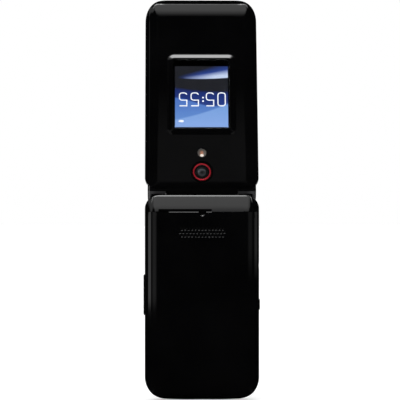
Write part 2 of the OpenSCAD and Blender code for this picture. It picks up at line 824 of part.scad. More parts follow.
// Wire spring around the cam's shaft, swept along its helix
spring_turns = 6;
spring_steps = 12;
spring_wire = 0.2;
spring_r = 1.95;
module hinge_spring() color("silver") on_lid() {
  sides = 6;
  length = cartridge_l - 5.4;
  n = spring_turns * spring_steps;
  points = [for (i = [0:n], s = [0:sides - 1])
    let (a = 360 * i / spring_steps, b = 360 * s / sides, r = spring_r + spring_wire * cos(b))
      [cartridge_x + 2.4 + length * i / n + spring_wire * sin(b), r * cos(a), r * sin(a)]];
  faces = concat(
    [for (i = [0:n - 1], s = [0:sides - 1]) let (t = (s + 1) % sides)
      [i * sides + s, i * sides + t, (i + 1) * sides + t, (i + 1) * sides + s]],
    [[for (s = [sides - 1:-1:0]) s], [for (s = [0:sides - 1]) n * sides + s]]);
  polyhedron(points, faces);
}

// Keys

// Cap with a flange that holds it behind the face, and a plunger for its dome
module key(x, z, w, h) {
  slab(x, z, w, h, key_r, key_out, flange_y + 0.05);
  slab(x, z, w + 2 * flange, h + 2 * flange, key_r, flange_y, flange_y + flange_t);
  post(x, z, plunger_r, flange_y + flange_t - 0.05, plunger_y);
}

module pad_key(name) color(blacks[2]) on_base()
  for (k = pad) if (k[0] == name)
    key(k[1] * key_pitch_x, key_row_z + k[2] * key_pitch_z, key_w, key_h);

module wide_key(name) color(blacks[2]) on_base()
  for (k = wide_keys) if (k[0] == name) key(k[1], k[2], k[3], k[4]);

module nav_plate() color("silver") on_base() difference() {
  post(0, nav_z, plate_r, plate_y, plate_y + plate_t);
  post(0, nav_z, plunger_r + 0.5, -base_t, 0);
}

module nav_ring() color("silver") on_base() {
  difference() {
    union() {
      post(0, nav_z, nav_r, key_out, nav_flange_y + 0.05);
      post(0, nav_z, nav_r + 0.6, nav_flange_y, nav_flange_y + nav_flange_t);
    }
    post(0, nav_z, nav_in_r, -base_t - cut, 0);
    post(0, nav_z, nav_step_r, nav_flange_y - 0.6, 0);
  }
  for (a = [0, 90, 180, 270])
    post(nav_dome_r * cos(a), nav_z + nav_dome_r * sin(a), 0.8,
      nav_flange_y + nav_flange_t - 0.05, plunger_y + 0.1);
}

module ok_key() color(blacks[2]) on_base() {
  post(0, nav_z, ok_r, key_out - 0.05, nav_flange_y - 0.15);
  post(0, nav_z, nav_step_r - 0.3, nav_flange_y - 0.2, nav_flange_y + 0.15);
  post(0, nav_z, plunger_r, nav_flange_y + 0.1, plunger_y);
}

// Cap through the side wall, with a flange behind the wall
module side_cap(side, z, l, rise) color(blacks[1]) on_base() mirror([side < 0 ? 1 : 0, 0, 0]) {
  box(side_flange_x + 0.1, half_w + rise, band_y - side_cap_t / 2, band_y + side_cap_t / 2,
    z - l / 2, z + l / 2);
  box(side_flange_x, side_flange_x + side_flange_t, band_y - side_cap_t / 2 - 0.3,
    band_y + side_cap_t / 2 + 0.3, z - l / 2 - 0.8, z + l / 2 + 0.8);
}

// Lid

module bumper_places() {
  both_sides() for (p = bumpers_xz) translate([p[0], 0, p[1]]) children();
}

module lid_rear_housing() color(blacks[0]) on_lid() {
  difference() {
    union() {
      difference() {
        union() {
          intersection() {
            lid_form();
            box(-half_w, half_w, bezel_out, lid_out + cut, -lid_heel, lid_l);
          }
          hull() {
            slab(0, panel_z, panel_w, panel_h, panel_r, lid_out - 0.5, lid_out);
            slab(0, panel_z, panel_top_w, panel_top_h, window_r,
              panel_out - 0.05, panel_out);
          }
        }
        both_sides() drum(knuckle_end, half_w + cut, clear_r);
      }
      drum(-knuckle_end, knuckle_end, barrel_r);
    }
    // Room for the board and the displays
    difference() {
      intersection() {
        lid_form(wall);
        box(-half_w, half_w, 0, skin_in, lid_cavity_z, lid_l);
      }
      bumper_places() post(0, 0, boss_r, 0, skin_in + cut);
      box(-camera_side / 2 - 1, camera_side / 2 + 1, 0, lid_out, 0, lid_board_z - 0.3);
    }
    slab(0, panel_z, sub_w + 0.3, sub_h + 0.3, 0, skin_in - cut, sub_window_back + 0.05);
    slab(0, panel_z, sub_window_w + 2 * window_gap, sub_window_h + 2 * window_gap, window_r,
      sub_window_back,
      panel_out + cut);
    // Camera and flash
    slab(0, camera_z, camera_side + 0.3, camera_side + 0.3, 0, camera_y - 0.1, skin_in);
    post(0, camera_z, ring_r + 0.05, skin_in + 0.4, lid_out + cut);
    post(0, camera_z, 2.9, skin_in - 0.1, lid_out);
    box(-2.6, 2.6, lid_board_y, skin_in, camera_z, lid_board_z + 1);
    post(0, flash_z, flash_r + 0.05, skin_in - 0.1, lid_out + cut);
    bumper_places() post(0, 0, lid_screw_r, 0, skin_in - 0.4);
    box(flex_x - flex_w / 2 - 0.4, flex_x + flex_w / 2 + 0.4, 0, lid_board_y, clear_r,
      lid_cavity_z + 1);
    // Hinge bores
    drum(-knuckle_end - cut, cartridge_x + cartridge_l + 0.2, cartridge_r);
    drum(knuckle_end - pin_reach, knuckle_end + cut, pin_r + pin_play);
  }
}

module lid_front_housing() color(blacks[1]) on_lid() {
  difference() {
    intersection() {
      lid_form();
      box(-half_w, half_w, 0, bezel_out, bezel_z, lid_l);
    }
    slab(0, main_window_z, main_window_w + 0.2, main_window_h + 0.2, 1.6, -cut, main_back);
    slab(0, main_window_z, main_window_w - 1.8, main_window_h - 1.8, 0.5, 0, bezel_out + cut);
    slab(0, ear_z, ear_w - 3, 1.2, 0.55, -cut, bezel_out);
    slab(0, ear_z, ear_w + 0.3, ear_h + 0.3, 0, bezel_out - 1, bezel_out + cut);
    bumper_places() {
      post(0, 0, bumper_r + 0.05, -cut, lid_in + bumper_seat);
      post(0, 0, lid_head_r + 0.1, -cut, lid_in + bumper_seat + lid_head_t);
      post(0, 0, lid_screw_r + 0.1, -cut, bezel_out + cut);
    }
  }
}

module main_window() color("black", 0.6) on_lid()
  slab(0, main_window_z, main_window_w, main_window_h, 1.5, main_out, main_back);

module main_display() color("slategray") on_lid() {
  slab(0, main_window_z, main_window_w - 2, main_window_h - 2, 0.6, main_back,
    main_back + main_t);
}

module sub_window() color("black", 0.6) on_lid()
  slab(0, panel_z, sub_window_w, sub_window_h, window_r - window_gap, sub_window_back,
    panel_out - glass_drop);

module sub_display() color("royalblue") on_lid()
  slab(0, panel_z, sub_w, sub_h, 0.4, sub_back, sub_back + sub_t);

module camera_module() color("dimgray") on_lid() {
  difference() {
    union() {
      slab(0, camera_z, camera_side, camera_side, 0.5, camera_y, camera_back);
      post(0, camera_z, 2.7, camera_back - 0.1, skin_in + 0.35);
    }
    post(0, camera_z, lens_r, skin_in - 0.3, lid_out);
  }
  post(0, camera_z, lens_r - 0.3, skin_in - 0.4, skin_in + 0.1);
}

module camera_window() color("black", 0.6) on_lid()
  post(0, camera_z, ring_in_r, skin_in + 0.4, lid_out - 0.1);

module camera_ring() color("crimson") on_lid()
  difference() {
    post(0, camera_z, ring_r, skin_in + 0.4, lid_out + ring_rise);
    post(0, camera_z, ring_in_r, 0, lid_out + cut);
  }

module flash_led() color("khaki") on_lid() {
  slab(0, flash_z, 2.6, 2.6, 0, lid_board_y + lid_board_t, skin_in - 0.2);
}

module flash_lens() color("lightgray") on_lid()
  post(0, flash_z, flash_r, skin_in - 0.1, lid_out);

module earpiece() color("dimgray") on_lid()
  slab(0, ear_z, ear_w, ear_h, 2, bezel_out - 1, bezel_out + 1.4);

module lid_board() color("darkgreen") on_lid() {
  difference() {
    slab(0, lid_board_z + lid_board_l / 2, lid_board_w, lid_board_l, 1.5, lid_board_y,
      lid_board_y + lid_board_t);
    bumper_places() post(0, 0, boss_r + 0.2, 0, lid_out);
  }
}

module lid_flex() color("orange") on_lid() {
  slab(flex_x, (clear_r + lid_board_z + 3) / 2 + 0.1, flex_w,
    lid_board_z + 3 - clear_r - 0.4, 0, lid_board_y - 0.2, lid_board_y);
}

module lid_magnet() color("silver") on_lid()
  slab(ear_w / 2 + magnet_w / 2 + 4, ear_z, magnet_w, 3, 0.4, bezel_out, bezel_out + 1.4);

module lid_bumpers() color(blacks[2]) on_lid()
  bumper_places() post(0, 0, bumper_r, lid_in - bumper_rise, lid_in + bumper_seat);

module lid_screws() color("silver") on_lid()
  bumper_places() {
    post(0, 0, lid_head_r, lid_in + bumper_seat, lid_in + bumper_seat + lid_head_t);
    post(0, 0, lid_screw_r, lid_in + bumper_seat + lid_head_t - 0.1, skin_in - 0.6);
  }

rear_housing();
front_housing();
battery_cover();
battery();
battery_contacts();
main_board();
shield_cans();
dome_sheet();
speaker();
vibration_motor();
microphone();
usb_port();
headset_jack();
sim_holder();
antenna();
base_screws();
hinge_cam();
hinge_pin();
hinge_caps();
nav_plate();
nav_ring();
ok_key();
wide_key("soft_key_left");  // soft_key_left
wide_key("soft_key_right");  // soft_key_right
wide_key("send_key");  // send_key
wide_key("end_key");  // end_key
wide_key("clear_key");  // clear_key
pad_key("1");  // key_1
pad_key("2");  // key_2
pad_key("3");  // key_3
pad_key("4");  // key_4
pad_key("5");  // key_5
pad_key("6");  // key_6
pad_key("7");  // key_7
pad_key("8");  // key_8
pad_key("9");  // key_9
pad_key("star");  // key_star
pad_key("0");  // key_0
pad_key("hash");  // key_hash
side_cap(1, rocker_z, rocker_l, rocker_rise);  // volume_rocker
side_cap(-1, shutter_z, shutter_l, shutter_rise);  // side_key
lid_rear_housing();
lid_front_housing();
main_window();
main_display();
sub_window();
sub_display();
camera_module();
camera_window();
camera_ring();
flash_led();
flash_lens();
earpiece();
lid_board();
lid_flex();
lid_magnet();
lid_bumpers();
lid_screws();
hinge_cartridge();
hinge_spring();
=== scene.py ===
import json
from math import atan2, cos, pi, radians, sin, sqrt

import bmesh
import bpy
from mathutils import Matrix, Vector

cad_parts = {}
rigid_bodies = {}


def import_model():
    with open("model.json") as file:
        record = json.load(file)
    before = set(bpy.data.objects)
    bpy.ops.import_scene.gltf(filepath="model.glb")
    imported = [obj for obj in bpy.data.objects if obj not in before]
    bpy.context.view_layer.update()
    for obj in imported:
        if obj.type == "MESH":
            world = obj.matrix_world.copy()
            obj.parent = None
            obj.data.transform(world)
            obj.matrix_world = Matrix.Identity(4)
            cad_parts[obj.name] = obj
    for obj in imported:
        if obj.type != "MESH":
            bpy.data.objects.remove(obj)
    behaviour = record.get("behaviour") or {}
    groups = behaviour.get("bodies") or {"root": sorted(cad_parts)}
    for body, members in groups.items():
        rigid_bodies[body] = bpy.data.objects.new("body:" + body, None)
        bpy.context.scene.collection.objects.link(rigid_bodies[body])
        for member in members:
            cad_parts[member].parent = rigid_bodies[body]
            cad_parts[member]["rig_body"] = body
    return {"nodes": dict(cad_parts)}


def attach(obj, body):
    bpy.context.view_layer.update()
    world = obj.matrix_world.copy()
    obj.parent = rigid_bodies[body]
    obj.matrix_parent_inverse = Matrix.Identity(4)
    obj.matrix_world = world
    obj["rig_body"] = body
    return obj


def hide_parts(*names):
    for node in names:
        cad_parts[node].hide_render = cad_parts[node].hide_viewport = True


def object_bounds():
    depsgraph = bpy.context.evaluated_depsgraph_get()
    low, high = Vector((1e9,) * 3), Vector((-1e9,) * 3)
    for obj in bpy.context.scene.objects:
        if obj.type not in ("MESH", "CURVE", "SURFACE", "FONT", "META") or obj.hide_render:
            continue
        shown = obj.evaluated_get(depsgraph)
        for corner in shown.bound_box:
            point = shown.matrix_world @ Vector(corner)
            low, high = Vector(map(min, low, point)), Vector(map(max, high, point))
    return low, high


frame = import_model()
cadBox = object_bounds()
nodes = frame["nodes"]
scene = bpy.context.scene
print("frame loaded,", len(nodes), "nodes")

# Both halves are drawn in millimetres: the base from its foot, the lid from the hinge axis
phone = {
    "half": 27.0,  # half the width
    "depth": 10.8,
    "datum": 47.0,  # height of the origin above the foot
    "hingeY": -11.1,
    "hingeZ": 98.6,
    "openAngle": 162.0,
    "barrel": 4.7,
    "clear": 5.0,  # radius kept free around the barrel
}
lean = radians(180 - phone["openAngle"])
hingeY, hingeZ = phone["hingeY"], phone["hingeZ"]
hingeUp = hingeZ - phone["datum"]  # hinge axis above the origin
scaleDown = Matrix.Scale(0.001, 4)
basePlace = Matrix.Translation((0, 0, -0.001 * phone["datum"])) @ scaleDown
lidPlace = Matrix.Translation((0, 0.001 * hingeY, 0.001 * hingeUp)) @ Matrix.Rotation(lean, 4, "X") @ scaleDown


def newObject(data, name="work"):
    obj = bpy.data.objects.new(name, data)
    scene.collection.objects.link(obj)
    return obj


# Camera

view = {"place": (0.0164, 0.880, 0.0471), "turn": -1.0, "lens": 168.9}
camera = newObject(bpy.data.cameras.new("camera"), "camera")
camera.data.sensor_width = 36
camera.data.lens = view["lens"]
camera.location = view["place"]
camera.rotation_euler = (pi / 2, 0, pi + radians(view["turn"]))
scene.camera = camera
scene.view_settings.view_transform = "Standard"
print("camera placed")

# Node building


def feed(tree, place, given):  # a socket takes a value, a link or several links
    for item in given if isinstance(given, list) else [given]:
        if isinstance(item, Val):
            tree.links.new(item.socket, place)
        else:
            place.default_value = item


class Val:  # a number inside a node tree
    def __init__(self, tree, socket):
        self.tree, self.socket = tree, socket

    def math(self, kind, *items):
        node = self.tree.nodes.new("ShaderNodeMath")
        node.operation = kind
        for place, item in zip(node.inputs, items):
            feed(self.tree, place, item)
        return Val(self.tree, node.outputs[0])

    def __add__(self, other):
        return self.math("ADD", self, other)

    def __radd__(self, other):
        return self.math("ADD", other, self)

    def __sub__(self, other):
        return self.math("SUBTRACT", self, other)

    def __rsub__(self, other):
        return self.math("SUBTRACT", other, self)

    def __mul__(self, other):
        return self.math("MULTIPLY", self, other)

    def __rmul__(self, other):
        return self.math("MULTIPLY", other, self)

    def __truediv__(self, other):
        return self.math("DIVIDE", self, other)

    def size(self):
        return self.math("ABSOLUTE", self)

    def root(self):
        return self.math("SQRT", self)

    def sine(self):
        return self.math("SINE", self)

    def atLeast(self, other):
        return self.math("MAXIMUM", self, other)

    def clip(self):
        return self.math("MINIMUM", self.atLeast(0.0), 1.0)

    def rise(self, start, end):  # 0 below start, 1 above end, straight between
        return ((self - start) / (end - start)).clip()


class Graph:  # a node tree
    def __init__(self, tree):
        self.tree = tree
        tree.nodes.clear()

    def add(self, kind, settings=None, inputs=None, out=0):
        node = self.tree.nodes.new(kind)
        for key, value in (settings or {}).items():
            if key == "stops":
                ramp = node.color_ramp.elements
                while len(ramp) < len(value):
                    ramp.new(0.5)
                for stop, (spot, colour) in zip(ramp, value):
                    stop.position, stop.color = spot, (*colour, 1.0)
            else:
                setattr(node, key, value)
        for key, value in (inputs or {}).items():
            feed(self.tree, node.inputs[key], value)
        return Val(self.tree, node.outputs[out]) if len(node.outputs) else node

    def xyz(self, vector):
        first = self.add("ShaderNodeSeparateXYZ", None, {0: vector})
        return [Val(self.tree, socket) for socket in first.socket.node.outputs]

    def vector(self, *items):
        return self.add("ShaderNodeCombineXYZ", None, dict(enumerate(items)))

    def angle(self, up, along):  # in radians
        return self.add("ShaderNodeMath", {"operation": "ARCTAN2"}, {0: up, 1: along})


class Finish(Graph):  # a material around one main shader
    def __init__(self, name, **fixed):
        self.material = bpy.data.materials.new(name)
        self.material.use_nodes = True
        super().__init__(self.material.node_tree)
        self.shader = self.add("ShaderNodeBsdfPrincipled")
        self.out = self.add("ShaderNodeOutputMaterial", None, {0: self.shader})
        where = self.add("ShaderNodeTexCoord", out="Object")
        self.spot = self.add("ShaderNodeVectorMath", {"operation": "SCALE"}, {0: where, "Scale": 1000.0})  # mm
        self.set(**fixed)

    def set(self, **values):  # baseColor sets Base Color
        for key, value in values.items():
            words = "".join(" " + c if c.isupper() else c for c in key)
            words = {"ior": "IOR", "specular": "Specular IOR Level"}.get(key, words[0].upper() + words[1:])
            feed(self.tree, self.shader.socket.node.inputs[words], self.tone(value))

    def tone(self, colour):
        return (*colour, 1.0) if isinstance(colour, tuple) and len(colour) == 3 else colour

    def noise(self, scale, detail=2.0, rough=0.5, vector=None):
        return self.add("ShaderNodeTexNoise", None, {
            "Vector": vector or self.spot, "Scale": scale, "Detail": detail, "Roughness": rough})

    def blend(self, share, first, second):  # colours
        return self.add("ShaderNodeMix", {"data_type": "RGBA"},
                        {0: share, 6: self.tone(first), 7: self.tone(second)}, 2)

    def bump(self, height, strength, distance=0.00002):
        self.set(normal=self.add(
            "ShaderNodeBump", None, {"Strength": strength, "Distance": distance, "Height": height}))


def alongLid(finish):  # x, and the distance from the hinge axis along the lid
    x, y, z = finish.xyz(finish.spot)
    return x, (z - hingeUp) * cos(lean) - (y - hingeY) * sin(lean)


def aroundLid(finish, centre):  # x, the way up from a point on the lid, and the distance from it
    x, along = alongLid(finish)
    up = along - centre
    return x, up, (x * x + up * up).root()


# Finishes

shellSettings = {
    "ior": 1.5, "rough": 0.03, "haze": 0.015, "wave": 0.02, "worn": (0.0022, 0.0022, 0.0024),
}
# Painted reflection: a lighter grey put into the base colour on the underside of the base's knuckles and end caps
knuckleSheenSettings = {
    "colour": (0.05, 0.05, 0.052), "from": 17.02, "to": 25.35, "reach": 4.72,
    "top": -0.35,  # the painted reflection lies only below this height over the hinge axis
    "dim": 0.45, "dimTo": 22.5,  # painted reflection weaker on the inner part
}
steelSettings = {"grain": 0.15, "scale": 9.0, "rough": 0.22, "depth": 0.1}


def knuckleSheenMask(finish, s):  # 1 where the painted reflection goes: the underside of the base's part of the hinge barrel
    x, y, z = finish.xyz(finish.spot)
    up, back, out = z - hingeUp, y - hingeY, x.size()
    away = (up * up + back * back).root()
    low = (1 - up.rise(s["top"] - 0.15, s["top"] + 0.15)) * (
        s["dim"] + out.rise(s["dimTo"] - 1, s["dimTo"] + 1) * (1 - s["dim"]))
    return (out.rise(s["from"], s["from"] + 0.03) * (1 - out.rise(s["to"], s["to"] + 0.15))
            * (1 - away.rise(s["reach"], s["reach"] + 0.06)) * low)


def glossPlastic(name, colour, knuckle=None, **changes):
    s = dict(shellSettings, **changes)
    paint = Finish(name, ior=s["ior"])
    haze = paint.noise(0.045, 3.0)  # handling marks, a few centimetres across
    specks = paint.noise(1.9, 2.0, 0.6)
    black = paint.blend(haze.rise(0.35, 0.7), colour, s["worn"])
    # the knuckle settings paint a reflection into the base colour
    if knuckle:
        black = paint.blend(knuckleSheenMask(paint, knuckle), black, knuckle["colour"])
    paint.set(baseColor=black, roughness=s["rough"] + haze.rise(0.4, 0.8) * s["haze"]
              + specks.rise(0.62, 0.75) * s["haze"])
    paint.bump(paint.noise(0.35, 1.0), s["wave"])
    return paint.material


def metal(name, colour, **changes):
    s = dict(steelSettings, **changes)
    paint = Finish(name, metallic=1.0, ior=1.5)
    x, y, z = paint.xyz(paint.spot)
    grain = paint.noise(s["scale"], 4.0, 0.65, paint.vector(x * s["grain"], y, z))
    tarnish = paint.noise(0.3)
    paint.set(baseColor=paint.blend(tarnish.rise(0.3, 0.75), colour, tuple(0.72 * c for c in colour)),
              roughness=s["rough"] + grain * 0.18)
    paint.bump(grain, s["depth"])
    return paint.material


def mattePlastic(name, colour, rough=0.5, grainSize=6.0, depth=0.25):
    paint = Finish(name, ior=1.46)
    grain, cloud = paint.noise(grainSize, 3.0, 0.7), paint.noise(0.12)
    paint.set(baseColor=paint.blend(cloud.rise(0.3, 0.7), colour, tuple(0.8 * c for c in colour)),
              roughness=rough + grain * 0.16 - 0.08)
    paint.bump(grain, depth, 0.00003)
    return paint.material


def clearGlass(name, tint, smear=0.01):
    paint = Finish(name, baseColor=tint, transmissionWeight=1.0, ior=1.5)
    paint.set(roughness=0.004 + paint.noise(0.08, 3.0).rise(0.55, 0.8) * smear)
    return paint.material


def ink(name, first, second, scale=4.0, rough=0.5, grit=0.1, **fixed):  # two shades in fine patches
    paint = Finish(name, **dict({"ior": 1.45}, **fixed))
    paint.set(baseColor=paint.blend(paint.noise(scale), first, second),
              roughness=rough + paint.noise(8.0) * grit if grit else rough)
    return paint


# shell black also carries the painted reflection on the knuckles
shellBlack = glossPlastic("shell black", (0.0012, 0.0012, 0.0014), knuckleSheenSettings)
faceBlack = glossPlastic("face black", (0.004, 0.004, 0.0045), rough=0.09, haze=0.05, worn=(0.006, 0.006, 0.0065))
keyBlack = glossPlastic("key black", (0.009, 0.009, 0.010), rough=0.16, haze=0.08, worn=(0.013, 0.013, 0.014))
sideBlack = glossPlastic("side key black", (0.004, 0.004, 0.0045), rough=0.12)
navSilver = metal("satin ring", (0.55, 0.56, 0.58), rough=0.2)
deepBlack = mattePlastic("moulded black", (0.012, 0.012, 0.012))
windowGlass = clearGlass("window glass", (0.93, 0.94, 0.95), 0.02)
inkWhite = ink("white ink", (0.72, 0.74, 0.76), (0.82, 0.83, 0.85)).material
inkGreen = ink("green ink", (0.03, 0.42, 0.08), (0.04, 0.5, 0.1)).material
inkRed = ink("red ink", (0.55, 0.02, 0.02), (0.65, 0.03, 0.03)).material
darkInk = ink("dark ink", (0.02, 0.02, 0.022), (0.03, 0.03, 0.033), grit=0).material
litInk = ink("lit white", (0.75, 0.75, 0.78), (0.8, 0.8, 0.8), 1.0, 0.4, 0, ior=1.5, emissionStrength=1.0)
litInk.set(emissionColor=litInk.blend(litInk.noise(1.0), (0.9, 0.93, 0.98), (1.0, 1.0, 1.0)))
inkLight = litInk.material
print("plain finishes mixed")

# Mesh building, in millimetres


def fromBmesh(bm):
    mesh = bpy.data.meshes.new("work")
    bm.to_mesh(mesh)
    bm.free()
    return newObject(mesh)


def workObject(bm):
    bmesh.ops.remove_doubles(bm, verts=bm.verts, dist=0.0004)
    bmesh.ops.recalc_face_normals(bm, faces=bm.faces)
    return fromBmesh(bm)


def loft(rings, wrap=False):  # solid through rings of equal length, capped or closed on itself
    bm = bmesh.new()
    rows = [[bm.verts.new(p) for p in ring] for ring in rings]
    count = len(rows[0])
    for below, above in zip(rows, rows[1:] + rows[:wrap]):
        for k in range(count):
            bm.faces.new((below[k], below[(k + 1) % count], above[(k + 1) % count], above[k]))
    if not wrap:
        bm.faces.new(rows[0][::-1])
        bm.faces.new(rows[-1])
    return workObject(bm)


def circle(segments):
    return [(cos(2 * pi * k / segments), sin(2 * pi * k / segments)) for k in range(segments)]


def quarter(count, first=1):  # steps of a rounding: share of the way along and of the way down
    return [(sin(pi / 2 * k / count), 1 - cos(pi / 2 * k / count)) for k in range(first, count + 1)]


def roundRing(w, h, r, x=0.0, y=0.0, z=0.0, steps=6):
    r = max(min(r, w / 2 - 0.001, h / 2 - 0.001), 0.001)
    ring = []
    for sx, sz, start in ((1, 1, 0), (-1, 1, 90), (-1, -1, 180), (1, -1, 270)):
        for k in range(steps + 1):
            a = radians(start + 90 * k / steps)
            ring.append((x + sx * (w / 2 - r) + r * cos(a), y, z + sz * (h / 2 - r) + r * sin(a)))
    return ring


def pad(x, z, levels, steps=6):  # rounded plate: levels are (y, width, height, corner)
    return loft([roundRing(w, h, r, x, y, z, steps) for y, w, h, r in levels])


def plate(x, z, y0, y1, w, h, r):  # one size throughout
    return pad(x, z, [(y0, w, h, r), (y1, w, h, r)])


def lathe(x, z, profile, segments=72, wrap=False):  # turned about Y: profile is (y, radius)
    return loft([[(x + r * c, y, z + r * s) for c, s in circle(segments)] for y, r in profile], wrap)


def drum(profile, y=0.0, z=0.0, segments=96):  # turned about X: profile is (x, radius)
    return loft([[(x, y + r * c, z + r * s) for c, s in circle(segments)] for x, r in profile])


def clearDrum(x0, x1, y=0.0, z=0.0):
    return drum([(x0, phone["clear"]), (x1, phone["clear"])], y, z)


def block(x0, x1, y0, y1, z0, z1):
    return loft([[(x0, y, z0), (x1, y, z0), (x1, y, z1), (x0, y, z1)] for y in (y0, y1)])


def joined(objects):  # islands of one mesh
    bm = bmesh.new()
    for obj in objects:
        bm.from_mesh(obj.data)
        bpy.data.objects.remove(obj)
    return fromBmesh(bm)


def moved(obj, x, y, z):
    obj.data.transform(Matrix.Translation((x, y, z)))
    return obj


def plainMesh(obj):
    bpy.context.view_layer.update()
    return bpy.data.meshes.new_from_object(obj.evaluated_get(bpy.context.evaluated_depsgraph_get()))


def evaluated(obj):
    mesh = plainMesh(obj)
    obj.modifiers.clear()
    obj.data = mesh
    return obj


def carve(obj, tools, operation="DIFFERENCE"):
    for tool in tools:
        cut = obj.modifiers.new("carve", "BOOLEAN")
        cut.operation, cut.solver, cut.object = operation, "EXACT", tool
    evaluated(obj)
    for tool in tools:
        bpy.data.objects.remove(tool)
    return obj


def crop(obj, y0, y1, foot=-10, top=120):  # keeps what is between these planes
    return carve(obj, [block(-40, 40, y0, y1, foot, top)], "INTERSECT")


def copyOf(obj):
    return newObject(obj.data.copy())


def finished(obj, name, node, material, extra=False, edge=0.0, angle=34, place=None):
    body = nodes[node]["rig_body"]  # a piece rides with its node, and stands in for it unless it's an extra
    if edge:
        bevel = obj.modifiers.new("edges", "BEVEL")
        bevel.width, bevel.segments, bevel.limit_method = edge, 3, "ANGLE"
        bevel.angle_limit, bevel.use_clamp_overlap = radians(38), True
        evaluated(obj)
    mesh = obj.data
    mesh.polygons.foreach_set("use_smooth", [True] * len(mesh.polygons))
    mesh.set_sharp_from_angle(angle=radians(angle))
    weigh = obj.modifiers.new("normals", "WEIGHTED_NORMAL")
    weigh.weight, weigh.keep_sharp = 60, True
    evaluated(obj)
    if place is None:
        place = lidPlace if body == "lid" else basePlace
    obj.data.transform(place)
    obj.name = obj.data.name = name
    obj.data.materials.clear()
    obj.data.materials.append(material)
    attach(obj, body)
    if not extra:
        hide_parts(node)


def smoothCopy(node, material):  # a solid that is right as it is, with clean normals
    bm = bmesh.new()
    bm.from_mesh(nodes[node].data)
    bmesh.ops.remove_doubles(bm, verts=bm.verts, dist=1e-7)
    finished(fromBmesh(bm), node + "_smooth", node, material, angle=32, place=Matrix.Identity(4))


def endCorner(half, r, bulge):  # corner centre's distance from the end, and where its arc stops
    if not bulge:
        return r, pi / 2
    depth = bulge - sqrt((bulge - r) ** 2 - (half - r) ** 2)
    return depth, atan2(bulge - depth, half - r)


def outline(half, lo, hi, rLo, rHi, bulgeLo=0.0, bulgeHi=0.0, counts=(20, 26, 16)):
    nCorner, nSide, nEnd = counts
    depthLo, stopLo = endCorner(half, rLo, bulgeLo)
    depthHi, stopHi = endCorner(half, rHi, bulgeHi)
    ring = []  # (x, z, share of low end, share of high end)

    def soft(t):
        return t * t * (3 - 2 * t)

    def corner(sign, top, outward):
        r, depth, stop = (rHi, depthHi, stopHi) if top else (rLo, depthLo, stopLo)
        for k in range(nCorner + 1):
            t = k / nCorner if outward else 1 - k / nCorner
            x = sign * (half - r + r * cos(t * stop))
            z = (hi - depth + r * sin(t * stop)) if top else (lo + depth - r * sin(t * stop))
            ring.append((x, z, 0.0 if top else soft(t), soft(t) if top else 0.0))

    def end(sign, top):
        r, bulge, stop = (rHi, bulgeHi, stopHi) if top else (rLo, bulgeLo, stopLo)
        reach = half - r + r * cos(stop)
        for k in range(1, nEnd + 1):
            x = sign * reach * (1 - 2 * k / (nEnd + 1))
            dip = bulge - sqrt(bulge * bulge - x * x) if bulge else 0.0
            ring.append((x, hi - dip if top else lo + dip, 0.0 if top else 1.0, 1.0 if top else 0.0))

    def side(sign, z0, z1):
        for k in range(1, nSide + 1):
            ring.append((sign * half, z0 + (z1 - z0) * k / (nSide + 1), 0.0, 0.0))

    side(1, lo + depthLo, hi - depthHi)
    corner(1, True, True)
    end(1, True)
    corner(-1, True, False)
    side(-1, hi - depthHi, lo + depthLo)
    corner(-1, False, True)
    end(-1, False)
    corner(1, False, False)
    return ring


def arcDrop(over, r):  # how far a quarter rounding falls away
    over = min(max(over, 0.0), r)
    return r - sqrt(r * r - over * over)


def soften(a, b, k):  # the lower of two, with a soft crossing
    h = min(max(0.5 + 0.5 * (b - a) / k, 0.0), 1.0)
    return b + (a - b) * h - k * h * (1 - h)


def lower(side, end, level):  # soft only where both fall away
    return soften(side, end, 0.3) if side < level and end < level else min(side, end)


def flat(ring, y):
    return [(x, y, z) for x, z, _, _ in ring]


def midway(first, second, t, y, up=0.0, ease=0.0):  # a ring between two outlines
    return [(x0 + (x1 - x0) * t, y + up * (1 - ease * w), z0 + (z1 - z0) * t)
            for (x0, z0, _, w), (x1, z1, _, _) in zip(first, second)]


def inward(height, d, top):  # the inner skin follows the outer one
    grow = 1 + d / (phone["half"] - 2 * d)
    return lambda x, z: height(x * grow, z - d if z < 40 else z + top * d) - d


def skinRings(outer, inner, height, steps, lip, hi, marks=()):
    depthMax = max(z for _, z, _, _ in outer) - min(z for _, z, _, w in inner if w > 0.99)
    shares = sorted([1 - cos(pi / 2 * k / steps) for k in range(steps + 1)] + [m / depthMax for m in marks])
    rings = []
    for s in shares:
        ring = []
        for (x0, z0, _, w0), (x1, z1, _, _) in zip(outer, inner):
            x, z = x0 + (x1 - x0) * s, z0 + (z1 - z0) * s
            if marks:  # rows run straight across the end, so its crease stays crisp
                level = hi - s * (hi - z1) - (hi - z0) * max(0.0, 1 - s * depthMax / (marks[0] - 0.4))
                z = z * (1 - w0) + level * w0
            ring.append((x, height(x, z) - w0 * arcDrop(lip - s * depthMax, lip), z))
        rings.append(ring)
    return rings


# Shape of the base

baseShape = {
    "top": 96.7, "footR": 10.5, "footBulge": 260.0, "topR": 7.0,
    "backR": 6.0,  # rounding of the sides and the foot
    "frontR": 0.9,
    "sideTop": -8.6,  # where the rounding of the back begins
    "crease": 88.6, "slopeAngle": 25.0, "slopeR": 29.0,
    "lip": 0.4,  # rounding of the upper edge
    "thinTop": 0.4, "innerTopR": 0.5,  # shares of a wall kept at the upper end
    "steps": 24,
}


def baseHeight(x, z):
    s = baseShape
    a, r = radians(s["slopeAngle"]), s["slopeR"]
    centre = s["crease"] - r * sin(a)
    slope = sqrt(max(r * r - max(z - centre, 0.0) ** 2, 0.0)) - r * cos(a) if z > s["crease"] else 0.0
    side = -arcDrop(abs(x) - (phone["half"] - s["backR"]), s["backR"])
    return slope + lower(side, -arcDrop(s["backR"] - z, s["backR"]), 0)


